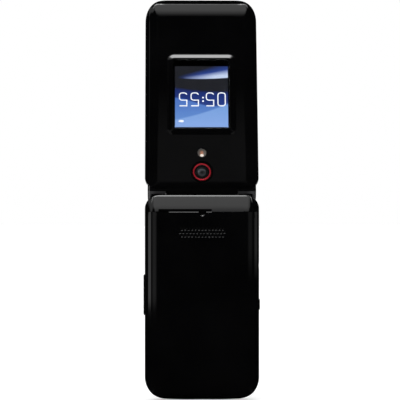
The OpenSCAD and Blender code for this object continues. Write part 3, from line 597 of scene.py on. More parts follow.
def baseForm(d=0.0, front=-phone["depth"]):  # d is how far it stays inside the outer skin
    s, half = baseShape, phone["half"]
    outer = outline(half - d, d, s["top"] - d * s["thinTop"], s["footR"] - d, s["topR"] - d * s["innerTopR"],
                    s["footBulge"] - d)
    inner = outline(half - s["backR"], s["backR"], s["crease"], s["footR"] - s["backR"], 2.0,
                    s["footBulge"] - s["backR"])
    if d:
        rings = [flat(outer, front)]
    else:
        r = s["frontR"]
        rings = [midway(outer, inner, r * (1 - far) / s["backR"], front, r * drop) for far, drop in quarter(4, 0)]
    rings.append(flat(outer, s["sideTop"]))
    rings += skinRings(outer, inner, inward(baseHeight, d, s["thinTop"]), s["steps"], s["lip"], s["top"])
    return loft(rings)


# Battery cover

coverSettings = {
    "thick": 1.1, "edge": 88.48, "skirt": -4.37,
    "grilleZ": 78.9, "holes": 14, "pitch": 1.6, "holeR": 0.44, "flare": 0.22,
    "notchR": 1.4, "notchLong": 1.15,
    "notch": [(-2.0, 0.0), (-0.35, 0.0), (0.1, 0.3), (0.5, 0.3)],  # y, widening
    "chamfer": 0.11, "chamferEnds": (-16.0, 15.5),
}


def grilleTree(names):  # three rows of hole cutters
    tree = bpy.data.node_groups.new("grille", "GeometryNodeTree")
    tree.is_modifier = True
    for name in names:
        kind = "NodeSocketInt" if name == "Holes" else "NodeSocketFloat"
        tree.interface.new_socket(name, in_out="INPUT", socket_type=kind)
    tree.interface.new_socket("Geometry", in_out="OUTPUT", socket_type="NodeSocketGeometry")
    net = Graph(tree)
    holes, pitch, radius, flare = [net.add("NodeGroupInput", out=name) for name in names]
    rows = []
    for row in (-1, 0, 1):
        count = holes - abs(row)
        rows.append(net.add("GeometryNodeMeshLine", None, {
            "Count": count, "Start Location": net.vector(pitch * ((count - 1) * -0.5), 0.0, pitch * row),
            "Offset": net.vector(pitch, 0.0, 0.0)}))
    shaft = net.add("GeometryNodeMeshCylinder", None, {"Vertices": 20, "Radius": radius, "Depth": 4.0})
    cone = net.add("GeometryNodeMeshCone", None, {
        "Vertices": 20, "Radius Bottom": radius, "Radius Top": radius + flare * 1.26, "Depth": flare * 1.19})
    rim = net.add("GeometryNodeTransform", None, {0: cone, "Translation": net.vector(0.0, 0.0, flare * -1.0)})
    cutter = net.add("GeometryNodeMeshBoolean", {"operation": "UNION"}, {1: [shaft, rim]})
    many = net.add("GeometryNodeInstanceOnPoints", None, {
        "Points": net.add("GeometryNodeJoinGeometry", None, {0: rows}), "Instance": cutter,
        "Rotation": (-pi / 2, 0, 0)})
    real = net.add("GeometryNodeRealizeInstances", None, {0: many})
    painted = net.add("GeometryNodeSetMaterial", None, {0: real, "Material": shellBlack})
    net.add("NodeGroupOutput", None, {0: painted})
    return tree


def grilleCutter(s):
    wanted = {"Holes": s["holes"], "Pitch": s["pitch"], "Radius": s["holeR"], "Flare": s["flare"]}
    obj = newObject(bpy.data.meshes.new("grille"))
    mod = obj.modifiers.new("grille", "NODES")
    mod.node_group = grilleTree(list(wanted))
    for item in mod.node_group.interface.items_tree:
        if item.name in wanted:
            mod[item.identifier] = wanted[item.name]
    return moved(evaluated(obj), 0, 0, s["grilleZ"])


def batteryCover(s):
    cover = crop(copyOf(wholeBase), s["skirt"], 10, top=s["edge"])
    carve(cover, [crop(baseForm(s["thick"], -12.0), -20, 10, top=92)])
    r, edge, c = s["notchR"], s["edge"], s["chamfer"]
    notch = loft([[(r * (1 + f) * a, y, edge + s["notchLong"] * r * (1 + f) * b) for a, b in circle(32)]
                  for y, f in s["notch"]])
    edgeCut = loft([[(x, -c, edge + 0.01), (x, 0.1, edge - c - 0.09), (x, 0.1, edge + 0.01)]
                    for x in s["chamferEnds"]])
    return carve(cover, [notch, edgeCut, grilleCutter(s)])


wholeBase = baseForm()
finished(batteryCover(coverSettings), "coverShell", "battery_cover", shellBlack)
print("battery cover done")

# Rear housing with the band above the cover, the core under it and the knuckles

rearSettings = {
    "seam": -8.0, "gap": 0.03, "coreInset": 1.25, "coreBack": -1.4, "coreTop": 88.7, "underCover": -4.4,
    "ledge": (-4.5, 20.5, -0.64, 5, 88.5, 89.85),  # shallow recess along the seam
    "bay": (-17.8, 17.8, -6.1, 5, 7.1, 57.7),  # x, y and z from and to, as in the next ones
    "boardRoom": (-25.2, 25.2, -9, -6.8, 2.2, 91.4),
    "deckRoom": (-23.85, 23.85, -6.9, -2.4, 58.7, 84.4),
    "speaker": (0, 78.5, -3.0, 2.0, 24.4, 10.4, 0.01),  # x, z, y from and to, width, height, corner
    "sockets": (0, 65.0, -3.0, 2.0, 17.0, 11.0, 0.01),
    "usb": (0, 3, -7.05, -4.55, 7.8, 7.0, 0.6),
    "jackRoom": (-25.8, -11.4, -9, -4.3, 60.3, 66.1),
    "screws": ((7.5, 86.9), (-7.5, 86.9), (20.2, 9.4), (-20.2, 9.4)), "screwR": 1.5,
    "edge": 0.08,
}
jack = {"y": -6.6, "z": 63.2, "profile": [(-40, 2.3), (-27.05, 2.3), (-26.8, 2.05), (-25, 2.05)]}
sideKeys = {  # side, middle, length, how far it stands out
    "volume_rocker": (1, 49.4, 19.1, 0.6), "side_key": (-1, 44.8, 5.2, 0.35),
}
sideSettings = {
    "wide": 2.2, "y": -6.2, "corner": 0.7,
    "flange": [(24.8, -0.3), (25.4, -0.3), (25.4, 0.0)],  # x, narrowing
    "edge": [(0.4, 0.0), (0.2, 0.05), (0.07, 0.17), (0.0, 0.38)],  # below the top, narrowing
    "room": (-7.5, -4.9), "roomFrom": 24.2, "gap": 0.2,
}
knuckle = {"inner": 17.06, "outer": 24.9, "round": 0.25, "web": (1.7, 4.6, -3.85, -1.6)}


def jackBore():
    return drum(jack["profile"], jack["y"], jack["z"], 48)


def rearHousing(s):
    band = crop(copyOf(wholeBase), s["seam"] + s["gap"], 10)
    carve(band, [block(-40, 40, s["underCover"], 10, -10, baseShape["crease"])])
    core = crop(baseForm(s["coreInset"], -12.0), s["seam"] + s["gap"], s["coreBack"], top=s["coreTop"])
    carve(band, [core], "UNION")
    tools = [block(*s[room]) for room in ("ledge", "bay", "boardRoom", "deckRoom")]
    tools += [plate(*s[opening]) for opening in ("speaker", "sockets", "usb")]
    tools += [clearDrum(-40, 40, hingeY, hingeZ), jackBore(), block(*s["jackRoom"])]
    tools += [lathe(x, z, [(-2.3, s["screwR"]), (3, s["screwR"])], 32) for x, z in s["screws"]]
    side = sideSettings
    for sign, z, long, _ in sideKeys.values():
        ends = sorted((sign * side["roomFrom"], sign * 40))
        tools.append(block(*ends, *side["room"], z - long / 2 - side["gap"], z + long / 2 + side["gap"]))
    carve(band, tools)
    k, r = knuckle, phone["barrel"]
    y0, y1, z0, z1 = k["web"]
    for sign in (-1, 1):
        profile = [(sign * x, radius) for x, radius in (
            (k["inner"], 0.01), (k["inner"], r - k["round"]), (k["inner"] + k["round"], r),
            (k["outer"] - 0.1, r), (k["outer"], r - 0.1), (k["outer"], 0.01))]
        ends = sorted((sign * k["inner"], sign * (k["outer"] - 1)))
        web = block(*ends, hingeY + y0, hingeY + y1, hingeZ + z0, hingeZ + z1)
        carve(band, [drum(profile, hingeY, hingeZ), web], "UNION")
    return band


finished(rearHousing(rearSettings), "rearShell", "rear_housing", shellBlack, edge=rearSettings["edge"])
print("rear housing done")

# End caps of the barrel

capSettings = {"thick": 0.8, "crown": 0.35, "gap": 0.06, "middle": 0.55}


def hingeCaps(s):
    parts, r = [], phone["barrel"]
    x = knuckle["outer"] + s["gap"]
    top = x + s["thick"] - s["gap"]
    for sign in (-1, 1):
        profile = [(x, 0.01), (x, r - 0.15), (x + 0.1, r - 0.05)]
        for far, drop in quarter(6, 0):
            profile.append((top - s["crown"] + s["crown"] * far * 0.75, r - 0.05 - s["crown"] * drop))
        profile += [(top, r * s["middle"]), (top, 0.01)]
        parts.append(drum([(sign * a, b) for a, b in profile], hingeY, hingeZ))
    return joined(parts)


finished(hingeCaps(capSettings), "hingeEndCaps", "hinge_caps", shellBlack)

# Front housing and its key openings

padKeys = ("1", "2", "3", "4", "5", "6", "7", "8", "9", "star", "0", "hash")
keySettings = {
    "w": 14.6, "h": 8.4, "pitchX": 16.4, "pitchZ": 10.0, "rowZ": 21.5, "corner": 2.2,
    "face": -phone["depth"], "proud": 0.3, "gap": 0.2,
    "flange": (-9.1, -9.6), "overhang": 1.0, "shoulder": 0.3, "crown": (1.0, 1.8, 2.8),
    "figure": 6.2, "star": 8.0, "ink": 0.03,
}
navSettings = {"z": 77.0, "outer": 9.4, "inner": 4.2, "ok": 4.0, "gap": 0.25, "top": -11.1, "arrows": 7.4}
frontSettings = {"inset": 1.3, "back": -9.7, "top": 91.5, "micZ": 8.0, "micR": 0.5, "edge": 0.08}


def keyOpening(x, z, w, h):
    s = keySettings
    g, face, r = 2 * s["gap"], s["face"], s["corner"] + s["gap"]
    return pad(x, z, [(face - 1, w + g + 0.5, h + g + 0.5, r + 0.25), (face, w + g + 0.5, h + g + 0.5, r + 0.25),
                      (face + 0.25, w + g, h + g, r), (face + 2, w + g, h + g, r)], 8)


def roundOpening(z, r, wider, deep, segments):  # chamfered at the front face
    face = keySettings["face"]
    return lathe(0, z, [(-12, r + wider), (face, r + wider), (face + deep, r), (-9, r)], segments)


def frontHousing(s):
    front = crop(copyOf(wholeBase), -20, rearSettings["seam"] - rearSettings["gap"])
    room = crop(baseForm(s["inset"], s["back"]), s["back"], 5, top=s["top"])
    carve(front, [room, clearDrum(-40, 40, hingeY, hingeZ), jackBore()])
    openings = [keyOpening(*place) for place in keyPlaces.values()]
    n = navSettings
    openings.append(roundOpening(n["z"], n["outer"] + n["gap"], n["gap"], 0.25, 96))
    openings.append(roundOpening(s["micZ"], s["micR"], 0.15, 0.15, 32))
    return carve(front, [joined(openings)])


k = keySettings
keyPlaces = {"key_" + name: ((n % 3 - 1) * k["pitchX"], k["rowZ"] + (3 - n // 3) * k["pitchZ"], k["w"], k["h"])
             for n, name in enumerate(padKeys)}
keyPlaces.update({
    "soft_key_left": (-18.6, 82.0, 12.6, 7.4), "soft_key_right": (18.6, 82.0, 12.6, 7.4),
    "send_key": (-18.6, 72.0, 12.6, 7.4), "end_key": (18.6, 72.0, 12.6, 7.4),
    "clear_key": (0.0, 61.8, 14.6, 6.0),
})
finished(frontHousing(frontSettings), "frontShell", "front_housing", faceBlack, edge=frontSettings["edge"])
print("front housing done")

# Keys: crowned caps over their flanges


def keyCap(x, z, w, h, s):
    r, over, soft = s["corner"], s["overhang"], s["shoulder"]
    top = s["face"] - s["proud"] + 0.05
    levels = [(y, w + over, h + over, r) for y in s["flange"]]
    levels += [(s["flange"][1], w, h, r), (top + soft, w, h, r)]
    for far, drop in quarter(5):
        levels.append((top + soft * (1 - far), w - 2 * soft * drop, h - 2 * soft * drop, r - soft * drop))
    for inset in s["crown"]:  # rises a little towards the middle
        levels.append((top - 0.05 * inset / 2.8, w - 2 * inset, h - 2 * inset, max(r - inset, 0.3)))
    return pad(x, z, levels, 8)


def digits(text, size, extrude):  # flat figures, upright in X and Z, seen from -Y
    curve = bpy.data.curves.new("figures", "FONT")
    curve.body, curve.size, curve.extrude, curve.resolution_u = text, size, extrude, 6
    curve.align_x, curve.align_y = "CENTER", "CENTER"
    obj = newObject(curve)
    mesh = plainMesh(obj)
    bpy.data.objects.remove(obj)
    mesh.transform(Matrix.Rotation(pi / 2, 4, "X"))
    xs, zs = [v.co.x for v in mesh.vertices], [v.co.z for v in mesh.vertices]
    return moved(newObject(mesh), -(min(xs) + max(xs)) / 2, 0, -(min(zs) + max(zs)) / 2)


def stroke(points, width, rise=0.03, closed=False):  # a flat band along points
    if closed:
        points = points + [points[0]]
    before, after = (points[-2], points[1]) if closed else (points[0], points[-1])
    path = [before] + points + [after]
    left, right = [], []
    for a, p, b in zip(path, path[1:], path[2:]):
        dx, dz = b[0] - a[0], b[1] - a[1]
        long = sqrt(dx * dx + dz * dz) or 1.0
        (x0, z0), (x1, z1) = (p[0] - a[0], p[1] - a[1]), (b[0] - p[0], b[1] - p[1])
        steps, turn = (x0 ** 2 + z0 ** 2) * (x1 ** 2 + z1 ** 2), 1.0
        if steps > 1e-24:  # wider where the band turns
            turn = 1 / max(sqrt((1 + (x0 * x1 + z0 * z1) / sqrt(steps)) / 2), 0.5)
        nx, nz = -dz / long * width / 2 * turn, dx / long * width / 2 * turn
        left.append((p[0] + nx, p[1] + nz))
        right.append((p[0] - nx, p[1] - nz))
    bm = bmesh.new()
    rows = [[bm.verts.new((x, y, z)) for x, z in row]
            for row, y in ((left, -rise), (right, -rise), (right, rise), (left, rise))]
    for a, b in zip(rows, rows[1:] + rows[:1]):
        for k in range(len(points) - 1):
            bm.faces.new((a[k], a[k + 1], b[k + 1], b[k]))
    if not closed:
        for k in (0, -1):
            bm.faces.new([row[k] for row in rows])
    return workObject(bm)


receiver = {"half": 3.0, "bow": 2.6, "low": -1.2, "stroke": 0.75, "ends": 2.75}


def handset(lift):  # a receiver lying flat, or lifted
    s, rise = receiver, keySettings["ink"]
    arc = [(s["half"] * sin(radians(a)), s["low"] + s["bow"] * cos(radians(a)) * lift) for a in range(-62, 63, 6)]
    z = s["low"] + s["bow"] * cos(radians(60)) * lift - 0.25 * lift
    cups = [plate(sign * s["ends"], z, -rise, rise, 1.25, 1.15, 0.35) for sign in (-1, 1)]
    return joined([stroke(arc, s["stroke"])] + cups)


def keyMark(node, s):
    if node == "send_key":
        mark = handset(1)
        mark.data.transform(Matrix.Rotation(radians(35), 4, "Y"))
        return mark, inkGreen
    if node == "end_key":
        return handset(-1), inkRed
    if node == "clear_key":  # arrow to the left
        head = stroke([(-0.9, 1.2), (-2.3, 0), (-0.9, -1.2)], 0.5)
        return joined([stroke([(-2.2, 0), (2.2, 0)], 0.5), head]), inkWhite
    if node.startswith("soft"):
        return stroke([(-1.6, 0), (1.6, 0)], 0.6), inkWhite
    figure = {"star": "*", "hash": "#"}.get(node[4:], node[4:])
    return digits(figure, s["star"] if figure == "*" else s["figure"], s["ink"]), inkWhite


for node, (x, z, w, h) in keyPlaces.items():
    finished(keyCap(x, z, w, h, keySettings), node + "_cap", node, keyBlack)
    mark, colour = keyMark(node, keySettings)
    moved(mark, x, keySettings["face"] - keySettings["proud"] + 0.005, z)
    finished(mark, node + "_mark", node, colour, extra=True)
print("keys done")


def navRing(s):
    ro, ri, top = s["outer"], s["inner"], s["top"]
    profile = [(-9.05, 5.0), (-9.05, ro + 0.6), (-9.4, ro + 0.6), (-9.4, ro), (top + 0.35, ro)]
    profile += [(top + 0.35 * (1 - far), ro - 0.35 * drop) for far, drop in quarter(5)]
    profile += [(top + 0.06, ro - 1.6), (top + 0.14, (ro + ri) / 2), (top + 0.08, ri + 0.9), (top, ri + 0.35)]
    profile += [(top + 0.25 * drop, ri + 0.35 - 0.35 * far) for far, drop in quarter(4)]
    return lathe(0, s["z"], profile + [(-10.0, ri), (-10.0, 5.0)], 96, True)


def navArrows(s):
    arrows = []
    for turn in range(4):
        arrow = moved(stroke([(-0.8, -0.4), (0, 0.45), (0.8, -0.4)], 0.32), 0, 0, s["arrows"])
        arrow.data.transform(Matrix.Rotation(turn * pi / 2, 4, "Y"))
        arrows.append(arrow)
    return moved(joined(arrows), 0, s["top"] + 0.1, s["z"])


def okCap(s):
    r, face = s["ok"], s["top"] + 0.2
    profile = [(-9.2, r + 0.7), (-9.6, r + 0.7), (-9.6, r), (face, r)]
    profile += [(face - 0.25 * far, r - 0.3 * drop) for far, drop in quarter(5)]
    return lathe(0, s["z"], profile + [(-11.12, 2.4), (-11.09, 1.0), (-11.08, 0.3)])


n = navSettings
finished(navRing(n), "navRingCap", "nav_ring", navSilver)
finished(navArrows(n), "navArrows", "nav_ring", darkInk, extra=True)
finished(okCap(n), "okCap", "ok_key", keyBlack)
finished(lathe(0, n["z"], [(-11.13, 0.75), (-11.05, 0.75)], 32), "okDot", "ok_key", inkWhite, extra=True)

# Side keys


def sideCap(sign, z, long, rise):
    s, rings = sideSettings, []
    for x, less in s["flange"] + [(phone["half"] + rise - down, less) for down, less in s["edge"]]:
        ring = roundRing(s["wide"] - 2 * less, long - 2 * less, s["corner"] if less >= 0 else 0.3, z=z)
        rings.append([(sign * x, s["y"] + px, pz) for px, _, pz in ring])
    return loft(rings)


for node, settings in sideKeys.items():
    finished(sideCap(*settings), node + "_cap", node, sideBlack)
print("side keys done")

# Shape of the lid

lidShape = {
    "in": 0.3, "out": 6.9, "heel": -1.3, "tip": 98.14, "tipR": 12.4, "tipBulge": 260.0, "heelR": 7.0,
    "sideR": 7.0, "sideLean": 0.38, "sideSoft": 2.2, "sideFall": 5.0, "sideFlat": 4.5,
    "endZ": 91.4, "endHalf": 7.0, "endIn": 1.4,  # the chamfer is narrower beside the slope
    "heelOver": 4.0, "frontR": 0.8, "frontEase": 0.75,
    "tipSlope": 19.5, "tipTurn": 21.0, "slopeZ": 86.8,  # slope towards the tip
    "tipEdge": 8.92, "tipStart": 28.0,  # edge of the tip
    "steps": 36, "counts": (30, 36, 24), "marks": (4.31, 4.38),
    "panel": {"w": 33.5, "h": 42.0, "z": 46.3, "rise": 1.4, "corner": 3.6, "tight": 0.7},
    "bevel": [(0.1, 0.0), (0.3, 0.0), (0.4, 0.02), (0.46, 0.06), (0.66, 0.3), (0.74, 0.365), (0.85, 0.425),
              (2.66, 1.33), (2.74, 1.365), (2.84, 1.4)],  # distance from the panel's edge, height
    "window": 26.9, "windowFloor": 6.86, "windowEdge": 0.06,
}


def lidHeight(x, z):
    s = lidShape
    big, small = s["tipSlope"], s["tipEdge"]
    turn, start = radians(s["tipTurn"]), radians(s["tipStart"])
    edgeY = s["out"] - big + big * cos(turn) - small * cos(start)
    edgeZ = s["tip"] - sqrt(small ** 2 - (s["in"] - edgeY) ** 2)
    turnZ = edgeZ + small * sin(start)
    slopeZ = turnZ - big * sin(turn)
    if z > turnZ:
        tip = edgeY + sqrt(max(small ** 2 - (z - edgeZ) ** 2, 0.0))
    else:
        tip = s["out"] - big + sqrt(big ** 2 - max(z - slopeZ, 0.0) ** 2)
    reach, soft = (z - s["endZ"]) / s["endHalf"], s["sideSoft"]
    width = s["sideR"] - s["endIn"] * max(1 - reach * reach, 0.0) ** 2
    over = min(max(abs(x) - phone["half"] + width, 0.0) / width, 1.0) * s["sideR"]  # a chamfer, then the rounding
    late = max(over - s["sideFlat"], 0.0) / (s["sideR"] - s["sideFlat"])
    fall = s["sideLean"] * (over * over / (2 * soft) if over < soft else over - soft / 2)
    side = s["out"] - fall - (s["sideFall"] - s["sideLean"] * s["sideR"]) * (1 - sqrt(max(1 - late * late, 0.0)))
    heel = s["out"] - arcDrop(s["heel"] + s["heelOver"] - z, s["heelOver"])
    return lower(side, heel, s["out"]) + tip - s["out"]


def panelRings(inner, s):  # from the lid's flat up the bevel and down into the window
    p = s["panel"]

    def ring(back):
        r = max(p["corner"] - back, p["tight"])
        return outline(p["w"] / 2 - back, p["z"] - p["h"] / 2 + back, p["z"] + p["h"] / 2 - back, r, r,
                       counts=s["counts"])

    base, top, edge = s["out"], s["out"] + p["rise"], (p["w"] - s["window"]) / 2
    levels = [(back, base + rise) for back, rise in s["bevel"]] + [
        (edge - s["windowEdge"], top), (edge, top - s["windowEdge"]), (edge, s["windowFloor"])]
    between = [midway(inner, ring(0.0), t, base) for t in (0.3, 0.6, 0.85)]
    return between + [flat(ring(back), y) for back, y in levels]


def lidForm(d=0.0):  # d is how far it stays inside the outer skin
    s, half, counts = lidShape, phone["half"], lidShape["counts"]
    outer = outline(half - d, s["heel"] + d, s["tip"] - d, s["heelR"] - d, s["tipR"] - d, 0.0, s["tipBulge"] - d,
                    counts)
    inner = outline(half - s["sideR"], s["heel"] + s["heelOver"], s["slopeZ"], 3.0, 5.0, counts=counts)
    if d:
        rings = [flat(outer, -3.0)]
    else:
        r = s["frontR"]
        rings = [midway(outer, inner, r * (1 - far) / s["sideR"], s["in"], r * drop, s["frontEase"])
                 for far, drop in quarter(4, 0)]
    rings += skinRings(outer, inner, inward(lidHeight, d, 1.0), s["steps"], 0.01, s["tip"],
                       () if d else s["marks"])
    return loft(rings if d else rings + panelRings(inner, s))


# Outer housing of the lid

lidSettings = {
    "seam": 2.3, "gap": 0.03, "wall": 1.3, "cavityTop": 5.7, "cavityFrom": 11.0, "edge": 0.06,
    "barrel": 17.0, "cheek": 25.78, "round": 0.25,
    "frontFrom": 5.3, "screws": ((21, 92), (-21, 92), (22, 8.2), (-22, 8.2)),
}
cameraSettings = {
    "z": 7.0, "ringOut": 4.25, "ringIn": 3.58, "top": 7.05,
    "dish": [(8, 5.35), (6.9, 5.35), (6.4, 5.25), (6.36, 4.46), (6.2, 4.45), (6.19, 4.4)],
    "bore": [(6.3, 2.9), (5.4, 2.9)],
    "gasket": {"ringOut": 5.2, "ringIn": 4.32, "top": 6.62},
    "window": [(6.32, 0.01), (6.32, 3.58), (6.72, 3.58), (6.78, 3.5), (6.8, 3.3), (6.8, 0.01)],
    "barrel": [(5.5, 0.01), (5.5, 2.7), (6.12, 2.7), (6.15, 2.62), (6.15, 2.35), (6.02, 2.3), (6.02, 2.05),
               (5.9, 2.0), (5.9, 0.01)],
    "lens": 1.95, "lensY": 5.93, "lensRise": 0.16,
}
flashSettings = {
    "z": 16.7, "bore": [(8, 2.4), (6.9, 2.4), (6.72, 2.12), (5.69, 2.1)],
    "cup": [(5.72, 0.01), (5.72, 2.03), (6.1, 2.03), (6.1, 1.9), (5.85, 1.2), (5.8, 0.01)],
    "lens": 2.04, "lensY": 6.6, "lensRise": 0.22,
}


def lidHousing(s):
    shell = crop(copyOf(wholeLid), s["seam"] + s["gap"], 20)
    cavity = crop(lidForm(s["wall"]), -5, s["cavityTop"], s["cavityFrom"])
    half, r, soft = s["barrel"], phone["barrel"], s["round"]
    carve(shell, [cavity, clearDrum(-s["cheek"], -half), clearDrum(half, s["cheek"])])
    carve(shell, [drum([(-half, 0.01), (-half, r - soft), (soft - half, r), (half - soft, r), (half, r - soft),
                        (half, 0.01)])], "UNION")
    c, f = cameraSettings, flashSettings
    return carve(shell, [lathe(0, c["z"], c["dish"], 96), lathe(0, c["z"], c["bore"], 64),
                         lathe(0, f["z"], f["bore"], 64)])


def lidFrame(s):
    inner = crop(copyOf(wholeLid), -5, s["seam"] - s["gap"], s["frontFrom"])
    main, slot = mainSettings, earSlot
    tools = [
        pad(0, main["z"], main["recess"], 8), pad(0, main["z"], main["hole"]),
        pad(0, slot["z"], slot["levels"], 10),
    ]
    tools += [lathe(x, z, [(-1, 2.3), (0.3, 2.3), (0.35, 2.25), (0.9, 2.25)], 48) for x, z in s["screws"]]
    return carve(inner, tools)


mainSettings = {
    "z": 54.3, "half": 21.6, "lo": 23.0, "hi": 85.6, "light": 1.0, "marks": (1.375, 1.395),
    "recess": [(-1, 46.6, 66.6, 1.8), (0.3, 46.6, 66.6, 1.8), (0.45, 46.2, 66.2, 1.6), (1.35, 46.2, 66.2, 1.6)],
    "hole": [(1.3, 44.2, 64.2, 0.5), (3, 44.2, 64.2, 0.5)],
    "screen": [(1.4, 43.9, 63.9, 0.5), (1.44, 44.0, 64.0, 0.6), (3.05, 44.0, 64.0, 0.6)],
    "window": [(0.35, 45.4, 65.4, 1.3), (0.38, 45.8, 65.8, 1.45), (0.46, 46.0, 66.0, 1.5),
               (1.34, 46.0, 66.0, 1.5)],
}
earSlot = {"z": 92.0, "levels": [(-1, 9.4, 1.6, 0.79), (0.3, 9.4, 1.6, 0.79), (0.5, 9.0, 1.2, 0.59),
                                 (1.6, 9.0, 1.2, 0.59)]}
wholeLid = lidForm()
finished(lidHousing(lidSettings), "lidShell", "lid_rear_housing", shellBlack, edge=lidSettings["edge"])
print("lid shell done")
finished(lidFrame(lidSettings), "lidFrame", "lid_front_housing", faceBlack, edge=lidSettings["edge"])
for whole in (wholeLid, wholeBase):
    bpy.data.objects.remove(whole)
print("lid frame done")

# Camera and flash


def cameraRing(s):
    ro, ri, y = s["ringOut"], s["ringIn"], s["top"] - 0.28
    profile = [(6.3, ri), (6.3, ro), (y, ro)]
    for k in range(1, 9):
        a = pi * k / 9
        profile.append((y + 0.28 * sin(a), (ro + ri) / 2 + (ro - ri) / 2 * cos(a)))
    return lathe(0, s["z"], profile + [(y, ri)], 96, True)


def anodised():
    paint = Finish("red anodised ring", metallic=0.55, ior=1.5)
    x, up, reach = aroundLid(paint, cameraSettings["z"])
    turned = paint.noise(1.0, 3.0, vector=paint.vector(reach * 12.0, paint.angle(up, x) * 0.4))
    paint.set(baseColor=paint.blend(turned.rise(0.3, 0.7), (0.62, 0.02, 0.035), (0.5, 0.012, 0.03)),
              roughness=0.3 + turned * 0.15)
    paint.bump(turned, 0.15)
    return paint.material


def lensCoatAndPaintedSheen():
    paint = Finish("lens coating", metallic=0.35, ior=1.6, coatWeight=1.0)
    x, up, reach = aroundLid(paint, cameraSettings["z"])
    # Base colour shades by distance from the middle: dark in the middle, lighter rings outward, dark at the rim.
    # The lighter rings are a painted reflection of the domed lens, and the dark middle is painted shade.
    paint.set(baseColor=paint.add("ShaderNodeValToRGB", {"stops": [
        (0.0, (0.16, 0.16, 0.165)), (0.2, (0.22, 0.22, 0.225)), (0.34, (0.36, 0.36, 0.37)),
        (0.62, (0.5, 0.5, 0.51)), (0.93, (0.6, 0.6, 0.62)), (1.0, (0.04, 0.04, 0.04))]}, {0: reach / 2.0}))
    paint.set(roughness=0.12 + paint.noise(2.0) * 0.05)
    return paint.material


# Phosphor of the flash with painted light: a glow although the flash is off, a painted white highlight low down,
# and painted shade at the top of the cup
def flashPaintedLight():
    paint = Finish("flash phosphor", ior=1.5, coatWeight=0.5, emissionStrength=0.85)
    x, up, reach = aroundLid(paint, flashSettings["z"])
    drop = 0 - up

    def patch(low, long):
        return (x * x) / 0.6 + (drop - low) * (drop - low) / long

    # warm is the phosphor's orange patch, which also glows; the hot spot is a painted highlight
    warm, paintedHotSpot = 1 - patch(0.1, 1.3).rise(0.0, 1.8), 1 - patch(1.1, 0.3).rise(0.4, 1.8)
    colour = paint.blend(warm, (0.36, 0.33, 0.31), (1.0, 0.46, 0.28))
    # painted shade towards the top of the cup
    colour = paint.blend((0 - drop).rise(0.8, 1.7), colour, (0.1, 0.1, 0.07))
    # painted glow, though the flash is not lit
    glow = paint.blend(warm, (0.0, 0.0, 0.0), (0.26, 0.12, 0.075))
    grain = paint.noise(5.0)
    paint.set(baseColor=paint.blend(paintedHotSpot, colour, (1.0, 0.98, 0.95)),
              emissionColor=paint.blend(paintedHotSpot, glow, (1.0, 0.88, 0.8)), roughness=0.35 + grain * 0.15)
    paint.bump(grain, 0.2, 0.00003)
    return paint.material


def domed(s, start, radii):  # a lens that rises towards its middle
    return start + [(s["lensY"] + s["lensRise"] * shape, r) for r, shape in radii]


c, f = cameraSettings, flashSettings
lensGlass = clearGlass("camera glass", (0.5, 0.51, 0.53))
flashGlass = clearGlass("flash glass", (0.96, 0.95, 0.93))
gasket = ink("gasket", (0.001, 0.001, 0.001), (0.002, 0.002, 0.002), 6.0, 0.6, 0.2, ior=1.4, specular=0.1).material
flashPaintedGlow = flashPaintedLight()
finished(cameraRing(c), "cameraRing", "camera_ring", anodised())
finished(cameraRing(dict(c, **c["gasket"])), "cameraGasket", "lid_rear_housing", gasket, extra=True)
finished(lathe(0, c["z"], c["window"]), "cameraWindow", "camera_window", lensGlass)
module = joined([plate(0, c["z"], 3.2, 5.6, 6.2, 6.2, 0.5), lathe(0, c["z"], c["barrel"])])
finished(module, "cameraBody", "camera_module", deepBlack)
lens = domed(c, [(5.88, 0.01), (5.88, c["lens"]), (c["lensY"], c["lens"])],
             [(r, 1 - (r / c["lens"]) ** 2) for r in (1.9, 1.6, 1.3, 1.0, 0.7, 0.4, 0.15, 0.01)])
finished(lathe(0, c["z"], lens), "cameraLens", "camera_module", lensCoatAndPaintedSheen(), extra=True)
finished(lathe(0, f["z"], f["cup"], 64), "flashCup", "flash_led", flashPaintedGlow, extra=True)
lens = domed(f, [(6.12, 0.01), (6.12, f["lens"]), (f["lensY"], f["lens"])],
             [(r, sqrt(max(1 - (r / f["lens"]) ** 2, 0))) for r in (1.95, 1.7, 1.4, 1.0, 0.6, 0.3, 0.01)])
finished(lathe(0, f["z"], lens, 64), "flashLens", "flash_lens", flashGlass)
print("camera and flash done")

# Outer display: window, picture and clock

outerSettings = {
    "z": 46.3, "half": 12.65, "lo": 29.4, "hi": 60.5, "light": 1.05, "marks": (6.905, 6.935),
    "screen": [(5.3, 26.9, 34.2, 0.4), (6.86, 26.9, 34.2, 0.4), (6.9, 26.8, 34.1, 0.4)],
    "window": [(7.0, 26.7, 35.6, 2.1), (8.12, 26.7, 35.6, 2.1), (8.17, 26.62, 35.52, 2.06),
               (8.2, 26.5, 35.4, 2.0)],
    "cell": [(9.6, 32.4, 1.9, 1.05, 0.2), (10.8, 32.4, 0.3, 0.5, 0.1)],  # x, z, width, height, corner
}


def picture(name, s, outward, draw):  # outward: seen from the back, upside down
    lit = Finish(name, ior=1.5, roughness=0.25, specular=0.0, emissionStrength=s["light"])
    x, along = alongLid(lit)
    wide, long = 2 * s["half"], s["hi"] - s["lo"]
    if outward:
        u, v = (0 - x) / wide + 0.5, (s["hi"] - along) / long
    else:
        u, v = x / wide + 0.5, (along - s["lo"]) / long
    inside = ((1 - (x.size() - s["half"]).rise(0.0, 0.05)) * (1 - (along - s["hi"]).rise(0.0, 0.05))
              * (along - s["lo"]).rise(-0.05, 0.0))
    lit.set(baseColor=lit.blend(inside, (0.002, 0.002, 0.002), (0.01, 0.01, 0.012)),
            emissionColor=lit.blend(inside, (0.0, 0.0, 0.0), draw(lit, u, v)))
    return lit.material


